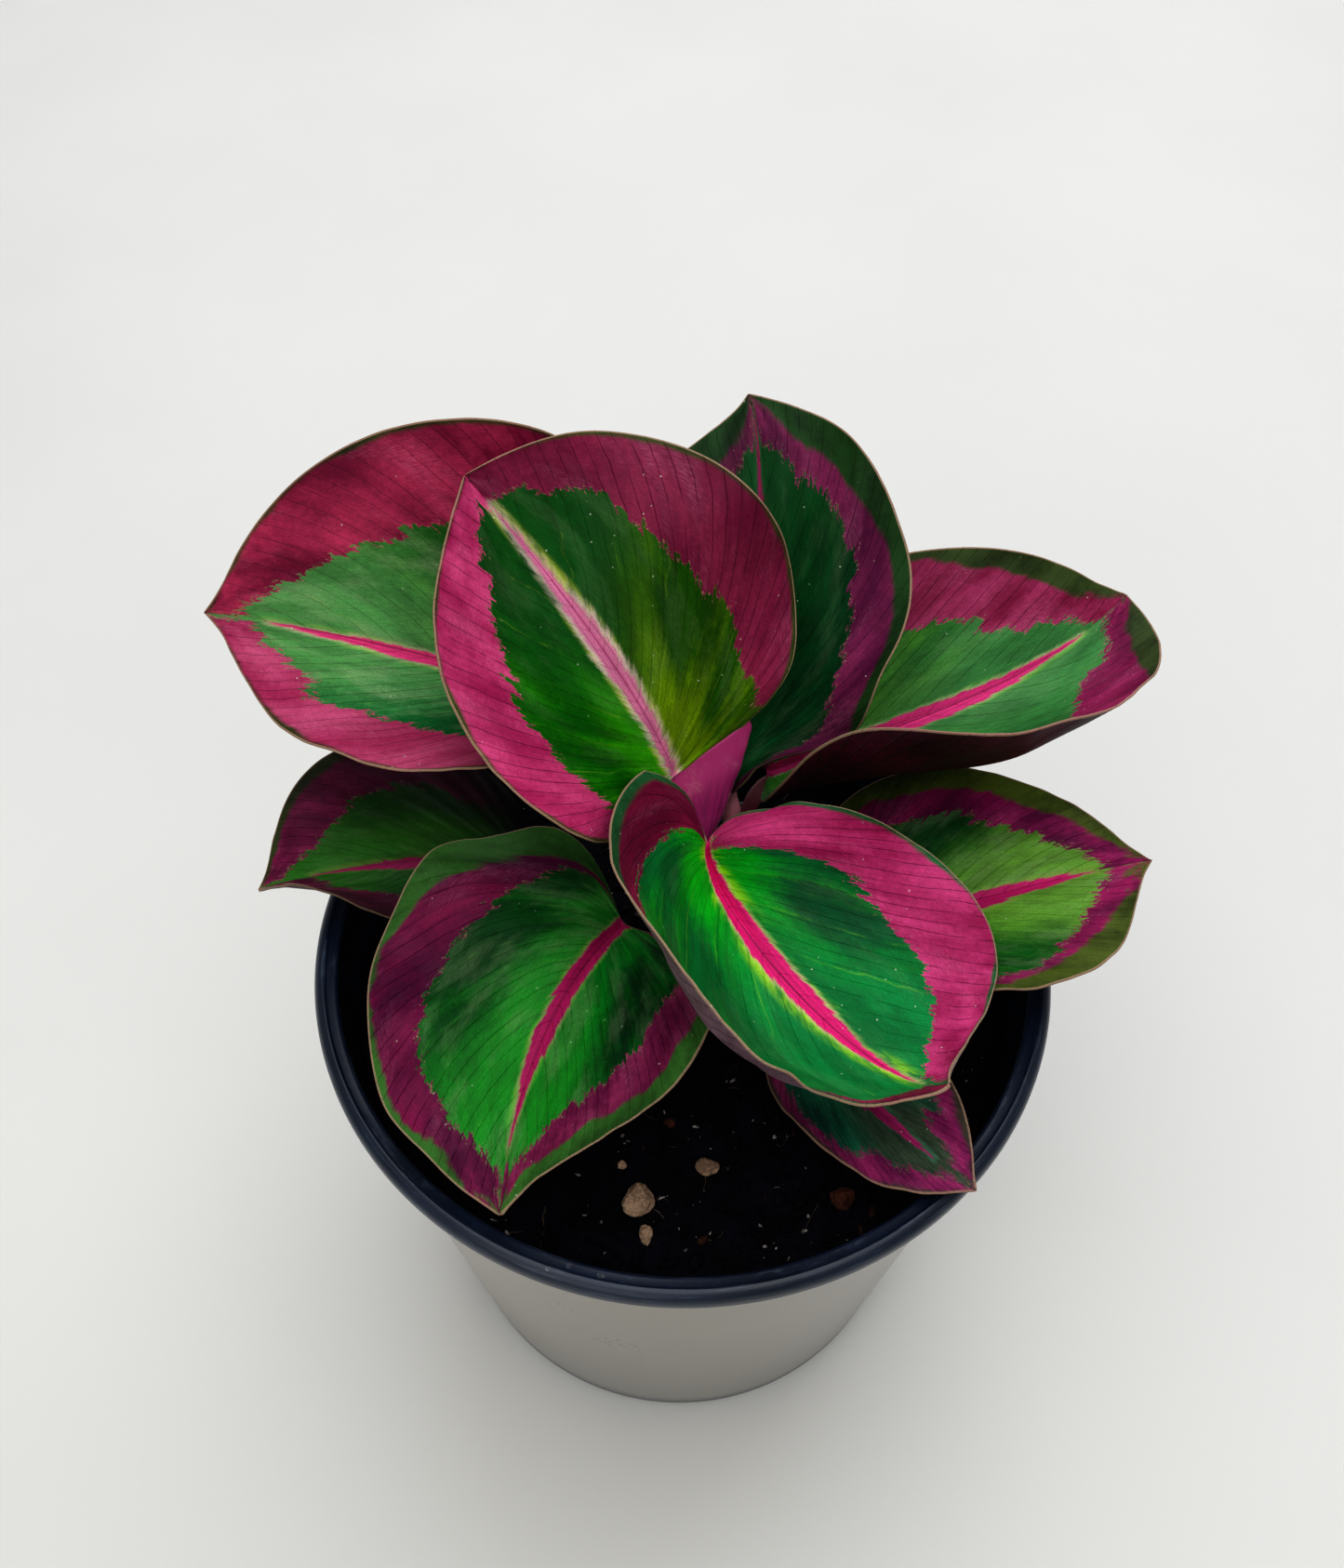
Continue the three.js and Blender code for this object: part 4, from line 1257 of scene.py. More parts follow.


# Each leaf's paint carries painted light and shade as well as its own colours: in the difference between its
# halves, its shaded colours, its sheen and its shade at the base.
LEAVES = (
    Leaf(
        "left_back", 135, (-14, 20, 135), ((-35, 23, 141), (-56, 27.5, 143.5)), (-75, 33.5, 140),
        ((200, 63), (198, 48)), widest=0.77, pointed=1.15, drip=0.08,
        left=Hand(23, 2, (28, 20, -4), (50, 27, 10), (0.3, 2, 0),
                  green=(0.75, 0.66, 0.6, 0.6, 0.5), stripe=(1.4, 1.6, 1.2)),
        right=Hand(37.5, 2.5, (12, 14, 18), (3, 19, 12), (-0.6, 2, 0),
                   green=(0.8, 0.62, 0.55, 0.52, 0.34), stripe=(0.8, 0.6, 0.6)),
        paint=BladePaint(
            left=HandPaint("cc6088", "a4305e", "64a864", "0c6c34"),
            right=HandPaint("c04068", "74123a", "709c40", "226820"),
            tip_green="5c9a58", glow="8fb85a", glow_reach=1.0, rim="46502a", stripe="ea4a8c",
            halo="bcbc98", painted_sheen=0.42, lines=0.3,
        ),
    ),
    Leaf(
        "centre", None, (-1.5, 13.5, 125.5), ((-7, 17, 142.5), (-22, 30, 156)), (-32, 33.5, 169),
        ((149, 43), (143, 46)), widest=0.93, pointed=0.95, drip=0.06,
        left=Hand(29.5, 1.5, (17, 13, 18), (30, 20, 4), (-0.1, 2, 0),
                  green=(0.72, 0.68, 0.6, 0.57, 0.36), stripe=(1.2, 1.8, 1.5)),
        right=Hand(32, 0.5, (9, 12, -1), (-8, 7, -4), (-2.2, 3, 0.1),
                   green=(1.05, 0.64, 0.57, 0.58, 0.42), stripe=(0.8, 1.6, 1.3)),
        stripe_end=0.95,
        paint=BladePaint(
            left=HandPaint("dc5c90", "a4285e", "3a9c04", "0a6400"),
            right=HandPaint("983458", "701a3e", "749400", "245400"),
            tip_green="15561c", glow="a8b83c", glow_reach=1.4, rim="4a5c28", stripe="e48cb0",
            halo="e6cfc4", feather=0.8, painted_sheen=0.1, crease="a02c6c", shade=-0.35,
        ),
        lead=(0, 0.58, 0.81),
    ),
    Leaf(
        "back_right", 90, (7, 16, 117.5), ((5, 32, 119.5), (16.5, 51, 145.5)), (10, 72.5, 151.5),
        ((202, 38), (189, 48)), widest=1, pointed=1.1, drip=0.07,
        left=Hand(25.5, 2, (10, 8, -2), (5, 7, 10), (0, 2, 0),
                  green=(0.7, 0.66, 0.66, 0.58, 0.34), rim=(0.86, 0.88, 0.9, 0.8, 0.5), stripe=(0.9, 1.1, 0.9)),
        right=Hand(27, 2, (29, 6, 6), (-19, 27, 12), (2.3, 3, 0),
                   green=(0.7, 0.69, 0.69, 0.62, 0.36), rim=(0.95, 0.94, 0.92, 0.84, 0.6),
                   stripe=(0.9, 1.1, 0.9)),
        green_end=0.97, stripe_end=0.985,
        paint=BladePaint(
            left=HandPaint("803454", "50143a", "045a2c", "00341a"),
            right=HandPaint("8c3460", "581640", "065a2c", "00381a"),
            tip_green="0a4e20", glow="1d6633", glow_reach=1.0, rim="2a5026", stripe="9c2c60",
            halo="3c6440", patches=1.2, painted_sheen=0.1, shade=0.55, shade_to=0.45,
        ),
    ),
    Leaf(
        "right_upper", 45, (13.5, 23, 114), ((32, 30, 116), (61.5, 39.5, 117.5)), (76, 57, 121),
        ((200, 74), (200, 75)), widest=0.86, pointed=0.95, drip=0.06,
        left=Hand(27.5, 2, (13, 13, 25), (5, 12, 27), (0.1, 3, 0),
                  green=(0.66, 0.62, 0.57, 0.44, 0.3), rim=(0.98, 0.975, 0.955, 0.86, 0.6),
                  stripe=(1.4, 1.4, 1.2)),
        right=Hand(31, 7, (23, 2, 20), (122, 99, 40), (0.5, 3, 0),
                   green=(1.1, 1.02, 0.85, 0.52, 0.38), rim=(1.1, 1.1, 1.1, 1.06, 0.6), stripe=(1.6, 1.8, 1.6)),
        paint=BladePaint(
            left=HandPaint("b64a78", "841c46", "62a430", "266820"),
            right=HandPaint("a8306a", "701446", "4a9e30", "0c6826"),
            tip_green="448448", glow="6ea446", glow_reach=1.1, rim="485a30", stripe="e2408a",
            halo="b4c08c", patches=1.5, painted_sheen=0.12, shade=0.5, shade_to=0.3,
        ),
    ),
    Leaf(
        "right_lower", 0, (22, -2, 102.5), ((41.5, 1, 106.5), (58, 7.5, 106.5)), (77.5, 13, 104),
        ((180, 90), (180, 83)), widest=0.87, pointed=1.15, drip=0.09,
        left=Hand(25, 2, (11, 4, 7), (5, 4, 1), (-0.3, 3, 0.1),
                  green=(0.72, 0.7, 0.66, 0.55, 0.3), rim=(0.9, 0.89, 0.85, 0.8, 0.76), stripe=(1.3, 1.3, 1.0)),
        right=Hand(24.5, 2, (20, 15, 0), (28, 22, 8), (0.6, 3, 0.1),
                   green=(0.85, 0.85, 0.8, 0.62, 0.42), rim=(0.95, 0.94, 0.91, 0.8, 0.8),
                   stripe=(2.0, 2.4, 1.9)),
        paint=BladePaint(
            left=HandPaint("a02468", "5c0e40", "4e922e", "0c4c1c"),
            right=HandPaint("ac266c", "6c1246", "5ca234", "186022"),
            tip_green="6c9c3e", glow="88a044", glow_reach=1.2, rim="5e6e2c", stripe="cc2c78",
            halo="8ca45c", patches=2.0, painted_sheen=0.24, shade=0.5, shade_to=0.5,
        ),
    ),
    Leaf(
        "front_right", 270, (3.5, 4, 118.5), ((3.5, -10.5, 122.5), (29.5, -37, 112)), (36.5, -39, 124.5),
        ((159, 64), (108, 62)), widest=1.12, pointed=1, drip=0.04,
        left=Hand(31.5, 5, (68, 6, 3), (-81, 2, -7), (0.1, 2, 0),
                  green=(0.27, 0.49, 0.6, 0.57, 0.28), rim=(0.92, 0.95, 0.98, 0.985, 0.96),
                  stripe=(1.5, 2.0, 1.2)),
        right=Hand(34, 9, (49.5, 2.5, 31.5), (-4, 90, 14.5), (-1.5, 3, 0.57),
                   green=(0.33, 0.67, 1.0, 0.99, 0.72), rim=(0.92, 0.93, 0.98, 0.99, 0.97),
                   stripe=(1.0, 1.9, 1.6)),
        stripe_end=0.95,
        paint=BladePaint(
            left=HandPaint("d04e88", "961a54", "009e22", "005830"),
            right=HandPaint("982450", "641036", "00ac1c", "006630"),
            tip_green="048444", glow="a4d418", glow_reach=2.3, rim="347044", stripe="f02c88",
            halo="d4ce90", patches=1.2, painted_sheen=0.08, feather=0.4,
        ),
        underside=LIT_UNDERSIDE,
        lead=(0.2, 0.15, 1),
    ),
    Leaf(
        "front_left", 225, (-9.5, -3.5, 109), ((-20, -17, 113), (-26, -34.5, 107)), (-26, -50.5, 105.5),
        ((201, 79), (203, 79)), widest=0.75, pointed=1.05, drip=0.08,
        left=Hand(27.5, 2, (17, 12, 28), (17, 24, 19), (-0.5, 2, 0),
                  green=(0.68, 0.62, 0.6, 0.53, 0.3), rim=(0.93, 0.93, 0.88, 0.8, 0.7), stripe=(1.5, 1.6, 1.1)),
        right=Hand(29.5, 4, (37, 3, 10), (-47, 14, 19), (3.4, 4, -0.1),
                   green=(0.55, 0.57, 0.67, 0.66, 0.4), rim=(0.62, 0.84, 0.99, 0.97, 0.8),
                   stripe=(1.3, 1.6, 0.9)),
        paint=BladePaint(
            left=HandPaint("a23e6c", "621040", "008426", "003c18"),
            right=HandPaint("8c2456", "520c3a", "2c8830", "044818"),
            tip_green="208c28", glow="64a838", glow_reach=0.9, rim="4a7e3a", stripe="be2a70",
            halo="a0a070", patches=2.4, painted_sheen=0.22,
        ),
    ),
    Leaf(
        "left_low", 180, (-27.5, 17.5, 98.5), ((-43, 14.5, 100.5), (-57.5, 8.5, 107)), (-69, 5.5, 104),
        ((180, 82), (180, 98)), widest=0.98, pointed=1.05, drip=0.07,
        left=Hand(21.5, 2, (10, 17, 44), (5, 23, 33), (-0.2, 2, 0),
                  green=(0.6, 0.58, 0.52, 0.4, 0.2), stripe=(1.6, 2.2, 1.2)),
        right=Hand(22, 2, (10, 13, 3), (5, 13, 22), (0.3, 2, -0.1),
                   green=(0.6, 0.6, 0.58, 0.48, 0.32), rim=(0.96, 0.95, 0.94, 0.9, 0.9),
                   stripe=(0.8, 0.6, 0.8)),
        stripe_end=0.88,
        paint=BladePaint(
            left=HandPaint("882456", "501234", "24682c", "0c401a"),
            right=HandPaint("9c2c64", "600c3a", "40861e", "1e5418"),
            tip_green="327420", glow="6c8c3a", glow_reach=1.0, rim="46502a", stripe="b42c6c",
            halo="6c8448", patches=1.2, painted_sheen=0.1, shade=1.0, shade_to=1.2,
        ),
    ),
    Leaf(
        "front_small", 315, (17, -12.5, 91.5), ((27, -25, 96), (32.5, -34.5, 100)), (43, -44.5, 101.5),
        ((200, 75), (200, 76)), widest=0.93, pointed=1.1, drip=0.07,
        left=Hand(12, 2, (10, 5, 7), (5, 3, 8), (-0.1, 2, 0),
                  green=(0.7, 0.7, 0.66, 0.6, 0.42), rim=(1.0, 1.0, 0.98, 0.9, 0.9), stripe=(1.3, 1.2, 1.0)),
        right=Hand(11.5, 1.5, (7, 10, 5), (-3, 19, 3), (-0.5, 2, -0.1),
                   green=(0.75, 0.77, 0.8, 0.68, 0.42), stripe=(1.1, 1.5, 1.2)),
        stripe_end=0.9, green_end=0.95,
        paint=BladePaint(
            left=HandPaint("b84080", "742458", "2c8868", "14584a"),
            right=HandPaint("b84080", "742458", "2c8868", "14584a"),
            tip_green="4a5c4a", glow="508868", glow_reach=0.8, rim="585448", stripe="c03c80",
            halo="4c7460", patches=0.8, painted_sheen=0.12,
        ),
    ),
)


# ---- stalks and crown


@dataclass(frozen=True)
class Stalks:
    """The leaf stalks, on the paths of their CAD solids, carried on up to the blades.

    Args:
        radius, neck, joint, tip: half thickness at the crown, below the joint, at it and above it.
        flare, flare_reach: how much thicker the foot is, and how far up.
        seat_ring, seat_height: ring on the crown on which they stand, and its height.
        slim_by, joint_at, joint_span, taper_from: where it is slim, swells and narrows, in 0..1.
        rise, approach: how far it keeps its first and last direction, as shares of its reach.
        heel_vein: the row under which it ends.
        rib, plate, gap: the CAD blade's keel and thickness, and the room between solids.
        sheath_leaf, sheath_vein, sheath_start, sheath_thickness: the stalk that spreads wide
            under its blade, as far as the margin at one row.
        rows, sides: points along a stalk, and round it.
    """

    radius: float = 1.5
    neck: float = 1.1
    joint: float = 1.4
    tip: float = 0.7
    flare: float = 0.5
    flare_reach: float = 2.5
    seat_ring: float = 5.3
    seat_height: float = 87.3
    slim_by: float = 0.6
    joint_at: float = 0.88
    joint_span: float = 0.07
    taper_from: float = 0.92
    rise: float = 0.4
    approach: float = 0.35
    heel_vein: float = 0.05
    rib: float = 0.7
    plate: float = 0.7
    gap: float = 0.3
    sheath_leaf: str = "centre"
    sheath_vein: float = 0.115
    sheath_start: float = 0.6
    sheath_thickness: float = 0.6
    rows: int = 90
    sides: int = 36

    def half_thickness(self, s: Array) -> Array:
        """Half thickness along a plain stalk: slimmer upwards, with a swollen joint.

        Args:
            s: places along it, in 0..1.

        Returns:
            The half thickness at each.
        """
        slim = self.radius + (self.neck - self.radius) * np.minimum(s / self.slim_by, 1)
        swell = (self.joint - self.neck) * np.exp(-(((s - self.joint_at) / self.joint_span) ** 2))
        taper = smoothstep(s, self.taper_from, 1)
        return (slim + swell) * (1 - taper) + self.tip * taper

    def build(self, blade: Blade, material: Material) -> Piece:
        """One stalk, standing for its CAD node.

        It leaves the crown straight up and comes in under the blade along the lead. Its section is
        oval, and the sheath's opens into a flat mouth.

        Args:
            blade: the leaf's blade.
            material: its finish.

        Returns:
            The piece.
        """
        leaf = blade.leaf
        sheathed = leaf.name == self.sheath_leaf
        zero = np.zeros(1)
        _, _, left = blade.frame_at(zero)
        tangent = unit(curve_speed(blade.curve, zero))[0]
        lead = unit(np.array(leaf.lead) if leaf.lead else tangent + np.array([0, 0, 1.0]))
        clear = self.plate / 2 + self.gap
        if sheathed:
            margin, normal = blade.surface(leaf.right, -1, np.array([self.sheath_vein]), np.ones(1))
            across = margin[0] - blade.curve[0]
            spread, thickness = np.linalg.norm(across) / 2, self.sheath_thickness
            top = (blade.curve[0] + margin[0]) / 2 - normal[0] * (FORM.thickness + thickness) / 2
        else:
            heel, normal = blade.surface(leaf.left, 1, np.array([self.heel_vein]), zero)
            across, spread, thickness = left[0], self.tip, self.tip
            top = heel[0] - normal[0] * (clear + self.rib + self.tip)
        angle = math.radians(leaf.seat or 0)
        ring = 0 if leaf.seat is None else self.seat_ring
        foot = np.array([ring * math.cos(angle), ring * math.sin(angle), self.seat_height])
        reach = np.linalg.norm(top - foot)
        points = np.array([foot, foot + [0, 0, self.rise * reach], top - lead * self.approach * reach, top])
        s = np.linspace(0, 1, self.rows)
        path = curve_place(points, s)
        opening = smoothstep(s, self.sheath_start, 1) if sheathed else np.zeros_like(s)
        plain = np.full_like(s, self.radius) if sheathed else self.half_thickness(s)
        foot_flare = self.flare * np.exp(-s * reach / self.flare_reach)
        wide = plain + (spread - plain) * opening + foot_flare
        thick = plain + (thickness - plain) * opening + foot_flare
        rings = tube_rings(path, np.broadcast_to(across, path.shape), wide, thick, self.sides)
        rings += self.slant(path, across, wide * opening)
        rings += self.ridges(rings, path, blade.number)
        turns = np.linspace(0, 1, self.sides, endpoint=False)
        where = np.stack(np.broadcast_arrays(s[:, None], turns[None], 0.0), axis=-1)
        piece = skin(f"leaf_stalk_{leaf.name}", rings, (path[0], path[-1]), [material])
        set_attribute(piece, "stalk_place", with_poles(where, (where[0, 0], where[-1, 0])))
        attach(piece, BODY)
        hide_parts(f"stalk_{leaf.name}")
        return piece

    def slant(self, path: Array, across: Array, reach: Array) -> Array:
        """Slides each ring's points along the path, so that a wide mouth lies along across.

        A point at cos(angle) out of the middle moves by cos(angle) times reach times the slope
        of across along the path.

        Args:
            path: (rows, 3) middle line.
            across: the way in which the mouth lies.
            reach: half width of each ring that takes part.

        Returns:
            (rows, sides, 3) moves.
        """
        tangent = unit(np.gradient(path, axis=0))
        along = np.sum(tangent * unit(across), axis=-1)
        slope = along / np.sqrt(1 - along**2)
        angle = around(self.sides)
        return tangent[:, None] * np.cos(angle)[None, :, None] * (reach * slope)[:, None, None]

    def ridges(self, rings: Array, path: Array, seed: int) -> Array:
        """Fine unevenness of a stalk: noise along the way out from its middle."""
        outward = rings - path[:, None]
        return outward * 0.06 * noise(rings, 2.2, 3, seed)[..., None]


@dataclass(frozen=True)
class StockBark:
    """Brown fibrous skin of the root stock and the old leaf bases, flushed with red.

    Args:
        deep, bright, flush: its colours.
    """

    deep: str = "2a1712"
    bright: str = "7d4a38"
    flush: str = "8a3348"

    def build(self, groups: Groups) -> Material:
        """The shader.

        Args:
            groups: the shared shader groups.

        Returns:
            The material.
        """
        g = Surface("root_stock_bark")
        x, y, z = g.parts(g.object_place())
        fibre = g.noise(g.vector(x, y, g.times(z, 0.15)), 1500.0, 4.0, 0.65)
        cloud = groups.cloud(g, 200.0, 1500.0)
        base = g.between(g.smooth(fibre, 0.35, 0.7), self.deep, self.bright)
        base = g.over(base, self.flush, g.smooth(cloud, 0.5, 0.7, 0.0, 0.6))
        return g.finish(base, g.smooth(cloud, 0.2, 0.8, 0.6, 0.85), g.bump(fibre, 0.3))


@dataclass(frozen=True)
class Crown:
    """The short root stock in the mix, with the scaly leaf bases that stand on it.

    Args:
        radius, top, bottom: the stock's CAD sizes.
        scales, scale_turn: number of leaf bases, and the angle from each to the next in degrees.
        scale_ring, scale_spread: how far out the first is, and how much further each next one.
        scale_rise, scale_radius, scale_waist: height and radius of one, and how much it narrows.
        scale_lean, scale_sink, scale_wall: its lean outward, how deep it is rooted, its thickness.
        strip: points each way on a leaf base.
        rows, columns: points along the stock's outline, and round it.
    """

    radius: float = 9.5
    top: float = 87.0
    bottom: float = 76.0
    scales: int = 11
    scale_turn: float = 137.5
    scale_ring: float = 3.2
    scale_spread: float = 0.45
    scale_rise: float = 3.5
    scale_radius: float = 2.1
    scale_waist: float = 0.5
    scale_lean: float = 0.25
    scale_sink: float = 0.4
    scale_wall: float = 0.35
    strip: int = 9
    rows: int = 60
    columns: int = 120

    def build(self, groups: Groups) -> list[Piece]:
        """The stock and its scales, standing for the CAD crown.

        Args:
            groups: the shared shader groups.

        Returns:
            The two pieces.
        """
        material = StockBark().build(groups)
        share = (np.arange(self.rows) + 0.5) / self.rows
        angle = around(self.columns)
        radius, height = self.profile(share)
        rings = turned(np.column_stack([radius, height]), angle)
        bumps = noise(rings * [1, 1, 0.4], 2.4, 3, 5)
        rings[..., :2] *= (1 - 0.05 * np.abs(bumps))[..., None]
        rings[..., 2] -= 0.35 * np.abs(bumps) * smoothstep(height, self.bottom, self.top)[:, None]
        poles = (np.array([0, 0, self.bottom]), np.array([0, 0, self.top - 0.1]))
        stock = skin("root_stock", rings, poles, [material])
        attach(stock, BODY)
        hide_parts("crown")
        return [stock, self.sheaths(material)]

    def profile(self, share: Array) -> tuple[Array, Array]:
        """The stock's outline, from the bottom's middle round to the top's middle.

        Args:
            share: places along it, in 0..1.

        Returns:
            Their radius and height.
        """
        corners = np.array([[0, self.bottom], [self.radius - 3, self.bottom], [self.radius, self.bottom + 4],
                            [self.radius, self.top - 1.5], [self.radius - 1.5, self.top], [0, self.top]])
        steps = np.linalg.norm(np.diff(corners, axis=0), axis=1)
        reach = np.concatenate([[0], np.cumsum(steps)]) / steps.sum()
        return np.interp(share, reach, corners[:, 0]), np.interp(share, reach, corners[:, 1])

    def sheaths(self, material: Material) -> Piece:
        """Short pointed leaf bases round the stalks, each half a cone wall, in one mesh.

        A scale is a strip bent round its own place: at height share v and turn w in -1..1 it lies at
        w (1.2 - 0.9 v^1.5) radians on a circle of its radius, and leans outward as it rises.

        Args:
            material: their finish.

        Returns:
            The piece.
        """
        vertices, faces = [], []
        side = self.strip
        v, w = np.meshgrid(np.linspace(0, 1, side), np.linspace(-1, 1, side), indexing="ij")
        corner = (side * np.arange(side - 1)[:, None] + np.arange(side - 1)).reshape(-1, 1)
        quads = corner + np.array([0, 1, side + 1, side])
        for number in range(self.scales):
            turn = number * math.radians(self.scale_turn)
            ring = self.scale_ring + self.scale_spread * number
            rise = self.scale_rise * (1 - 0.5 * number / self.scales)
            opening = w * (1.2 - 0.9 * v**1.5)
            radius = self.scale_radius - self.scale_waist * v
            out = radius * np.cos(opening) + self.scale_lean * rise * v
            local = np.stack([out, radius * np.sin(opening), rise * v], axis=-1)
            cosine, sine = math.cos(turn), math.sin(turn)
            spin = np.array([[cosine, sine, 0], [-sine, cosine, 0], [0, 0, 1]])
            base = np.array([ring * cosine, ring * sine, self.top - self.scale_sink])
            start = side**2 * number
            vertices.append(local.reshape(-1, 3) @ spin + base)
            faces.append(quads + start)
        piece = make_object("leaf_bases", np.concatenate(vertices), np.concatenate(faces).tolist(), [material])
        wall = piece.modifiers.new("wall", "SOLIDIFY")
        wall.thickness = self.scale_wall * MM
        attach(piece, BODY)
        return piece


# ---- pot


@dataclass(frozen=True)
class NavyPlastic:
    """Navy satin plastic of the rim, the inside and the foot, with dust and fine worn marks,
    made paler and stronger than wear alone so that they paint the rim's sheen as well.

    Args:
        deep, bright, scuff, dust: its colours; scuff is worn plastic painted pale enough to stand for sheen
            too.
    """

    deep: str = "0c1a2c"
    bright: str = "162842"
    scuff_and_sheen: str = "68788c"
    dust: str = "a8a295"

    def build(self, groups: Groups) -> Material:
        """The shader.

        Args:
            groups: the shared shader groups.

        Returns:
            The material.
        """
        g = Surface("pot_dark_plastic")
        place = g.object_place()
        cloud = groups.cloud(g, 60.0, 1400.0)
        specks = g.group(groups.grit, "Speck", Place=place, Scale=1300.0)
        x, y, z = g.parts(place)
        round_the_pot = g.vector(g.times(g.math("ARCTAN2", y, x), 3.0), g.times(z, 1800.0))
        # Worn marks round the pot, made pale and strong enough to paint the rim's sheen as well: part wear,
        # part painted highlight.
        scuffs_and_sheen = g.noise(round_the_pot, 2.0, 4.0, 0.7)
        base = g.between(g.smooth(cloud, 0.35, 0.7), self.deep, self.bright)
        base = g.over(base, self.scuff_and_sheen, g.smooth(scuffs_and_sheen, 0.54, 0.74, 0.0, 0.5))
        dust = g.times(g.smooth(specks, 0.93, 0.97), g.smooth(cloud, 0.5, 0.6))
        base = g.over(base, self.dust, g.times(dust, 0.5))
        worn = g.plus(scuffs_and_sheen, cloud)
        fixed = {"Coat Weight": 0.5, "Coat Roughness": 0.22}
        return g.finish(base, g.smooth(worn, 0.7, 1.3, 0.38, 0.55), g.bump(worn, 0.03), fixed)


@dataclass(frozen=True)
class WallPlastic:
    """Warm grey satin plastic of the outer wall, bluer at the foot, with painted shade under the rim
    and darker towards the bottom.

    Args:
        deep, bright: its two shades.
        foot, collar: its colour lowest down, and the painted shadow of the rim on the wall under it.
    """

    deep: str = "928e86"
    bright: str = "9e9990"
    foot: str = "2b3046"
    rim_shadow: str = "5a5b62"

    def build(self, groups: Groups) -> Material:
        """The shader.

        Args:
            groups: the shared shader groups.

        Returns:
            The material.
        """
        g = Surface("pot_pale_plastic")
        place = g.object_place()
        _, _, z = g.parts(place)
        cloud = groups.cloud(g, 45.0, 1600.0)
        grain = g.group(groups.grit, "Height", Place=place, Scale=2600.0)
        base = g.between(g.smooth(cloud, 0.3, 0.7), self.deep, self.bright)
        low = g.smooth(g.plus(z, g.times(cloud, 2 * MM)), 2.2 * MM, 7.5 * MM, 1.0, 0.0)
        base = g.over(base, self.foot, g.times(low, 0.85))
        # Painted shadow: a dark grey band just under the rim.
        base = g.over(base, self.rim_shadow, g.smooth(z, 92.5 * MM, 94.5 * MM, 0.0, 0.7))
        # Painted shade: the wall darker towards the bottom.
        base = g.scale_colour(g.smooth(z, 0.0, 70 * MM, 0.78, 1.0), base)
        normal = g.bump(g.plus(grain, g.times(cloud, 0.6)), 0.006)
        fixed = {"Coat Weight": 0.4, "Coat Roughness": 0.2}
        return g.finish(base, g.smooth(cloud, 0.2, 0.8, 0.26, 0.36), normal, fixed)


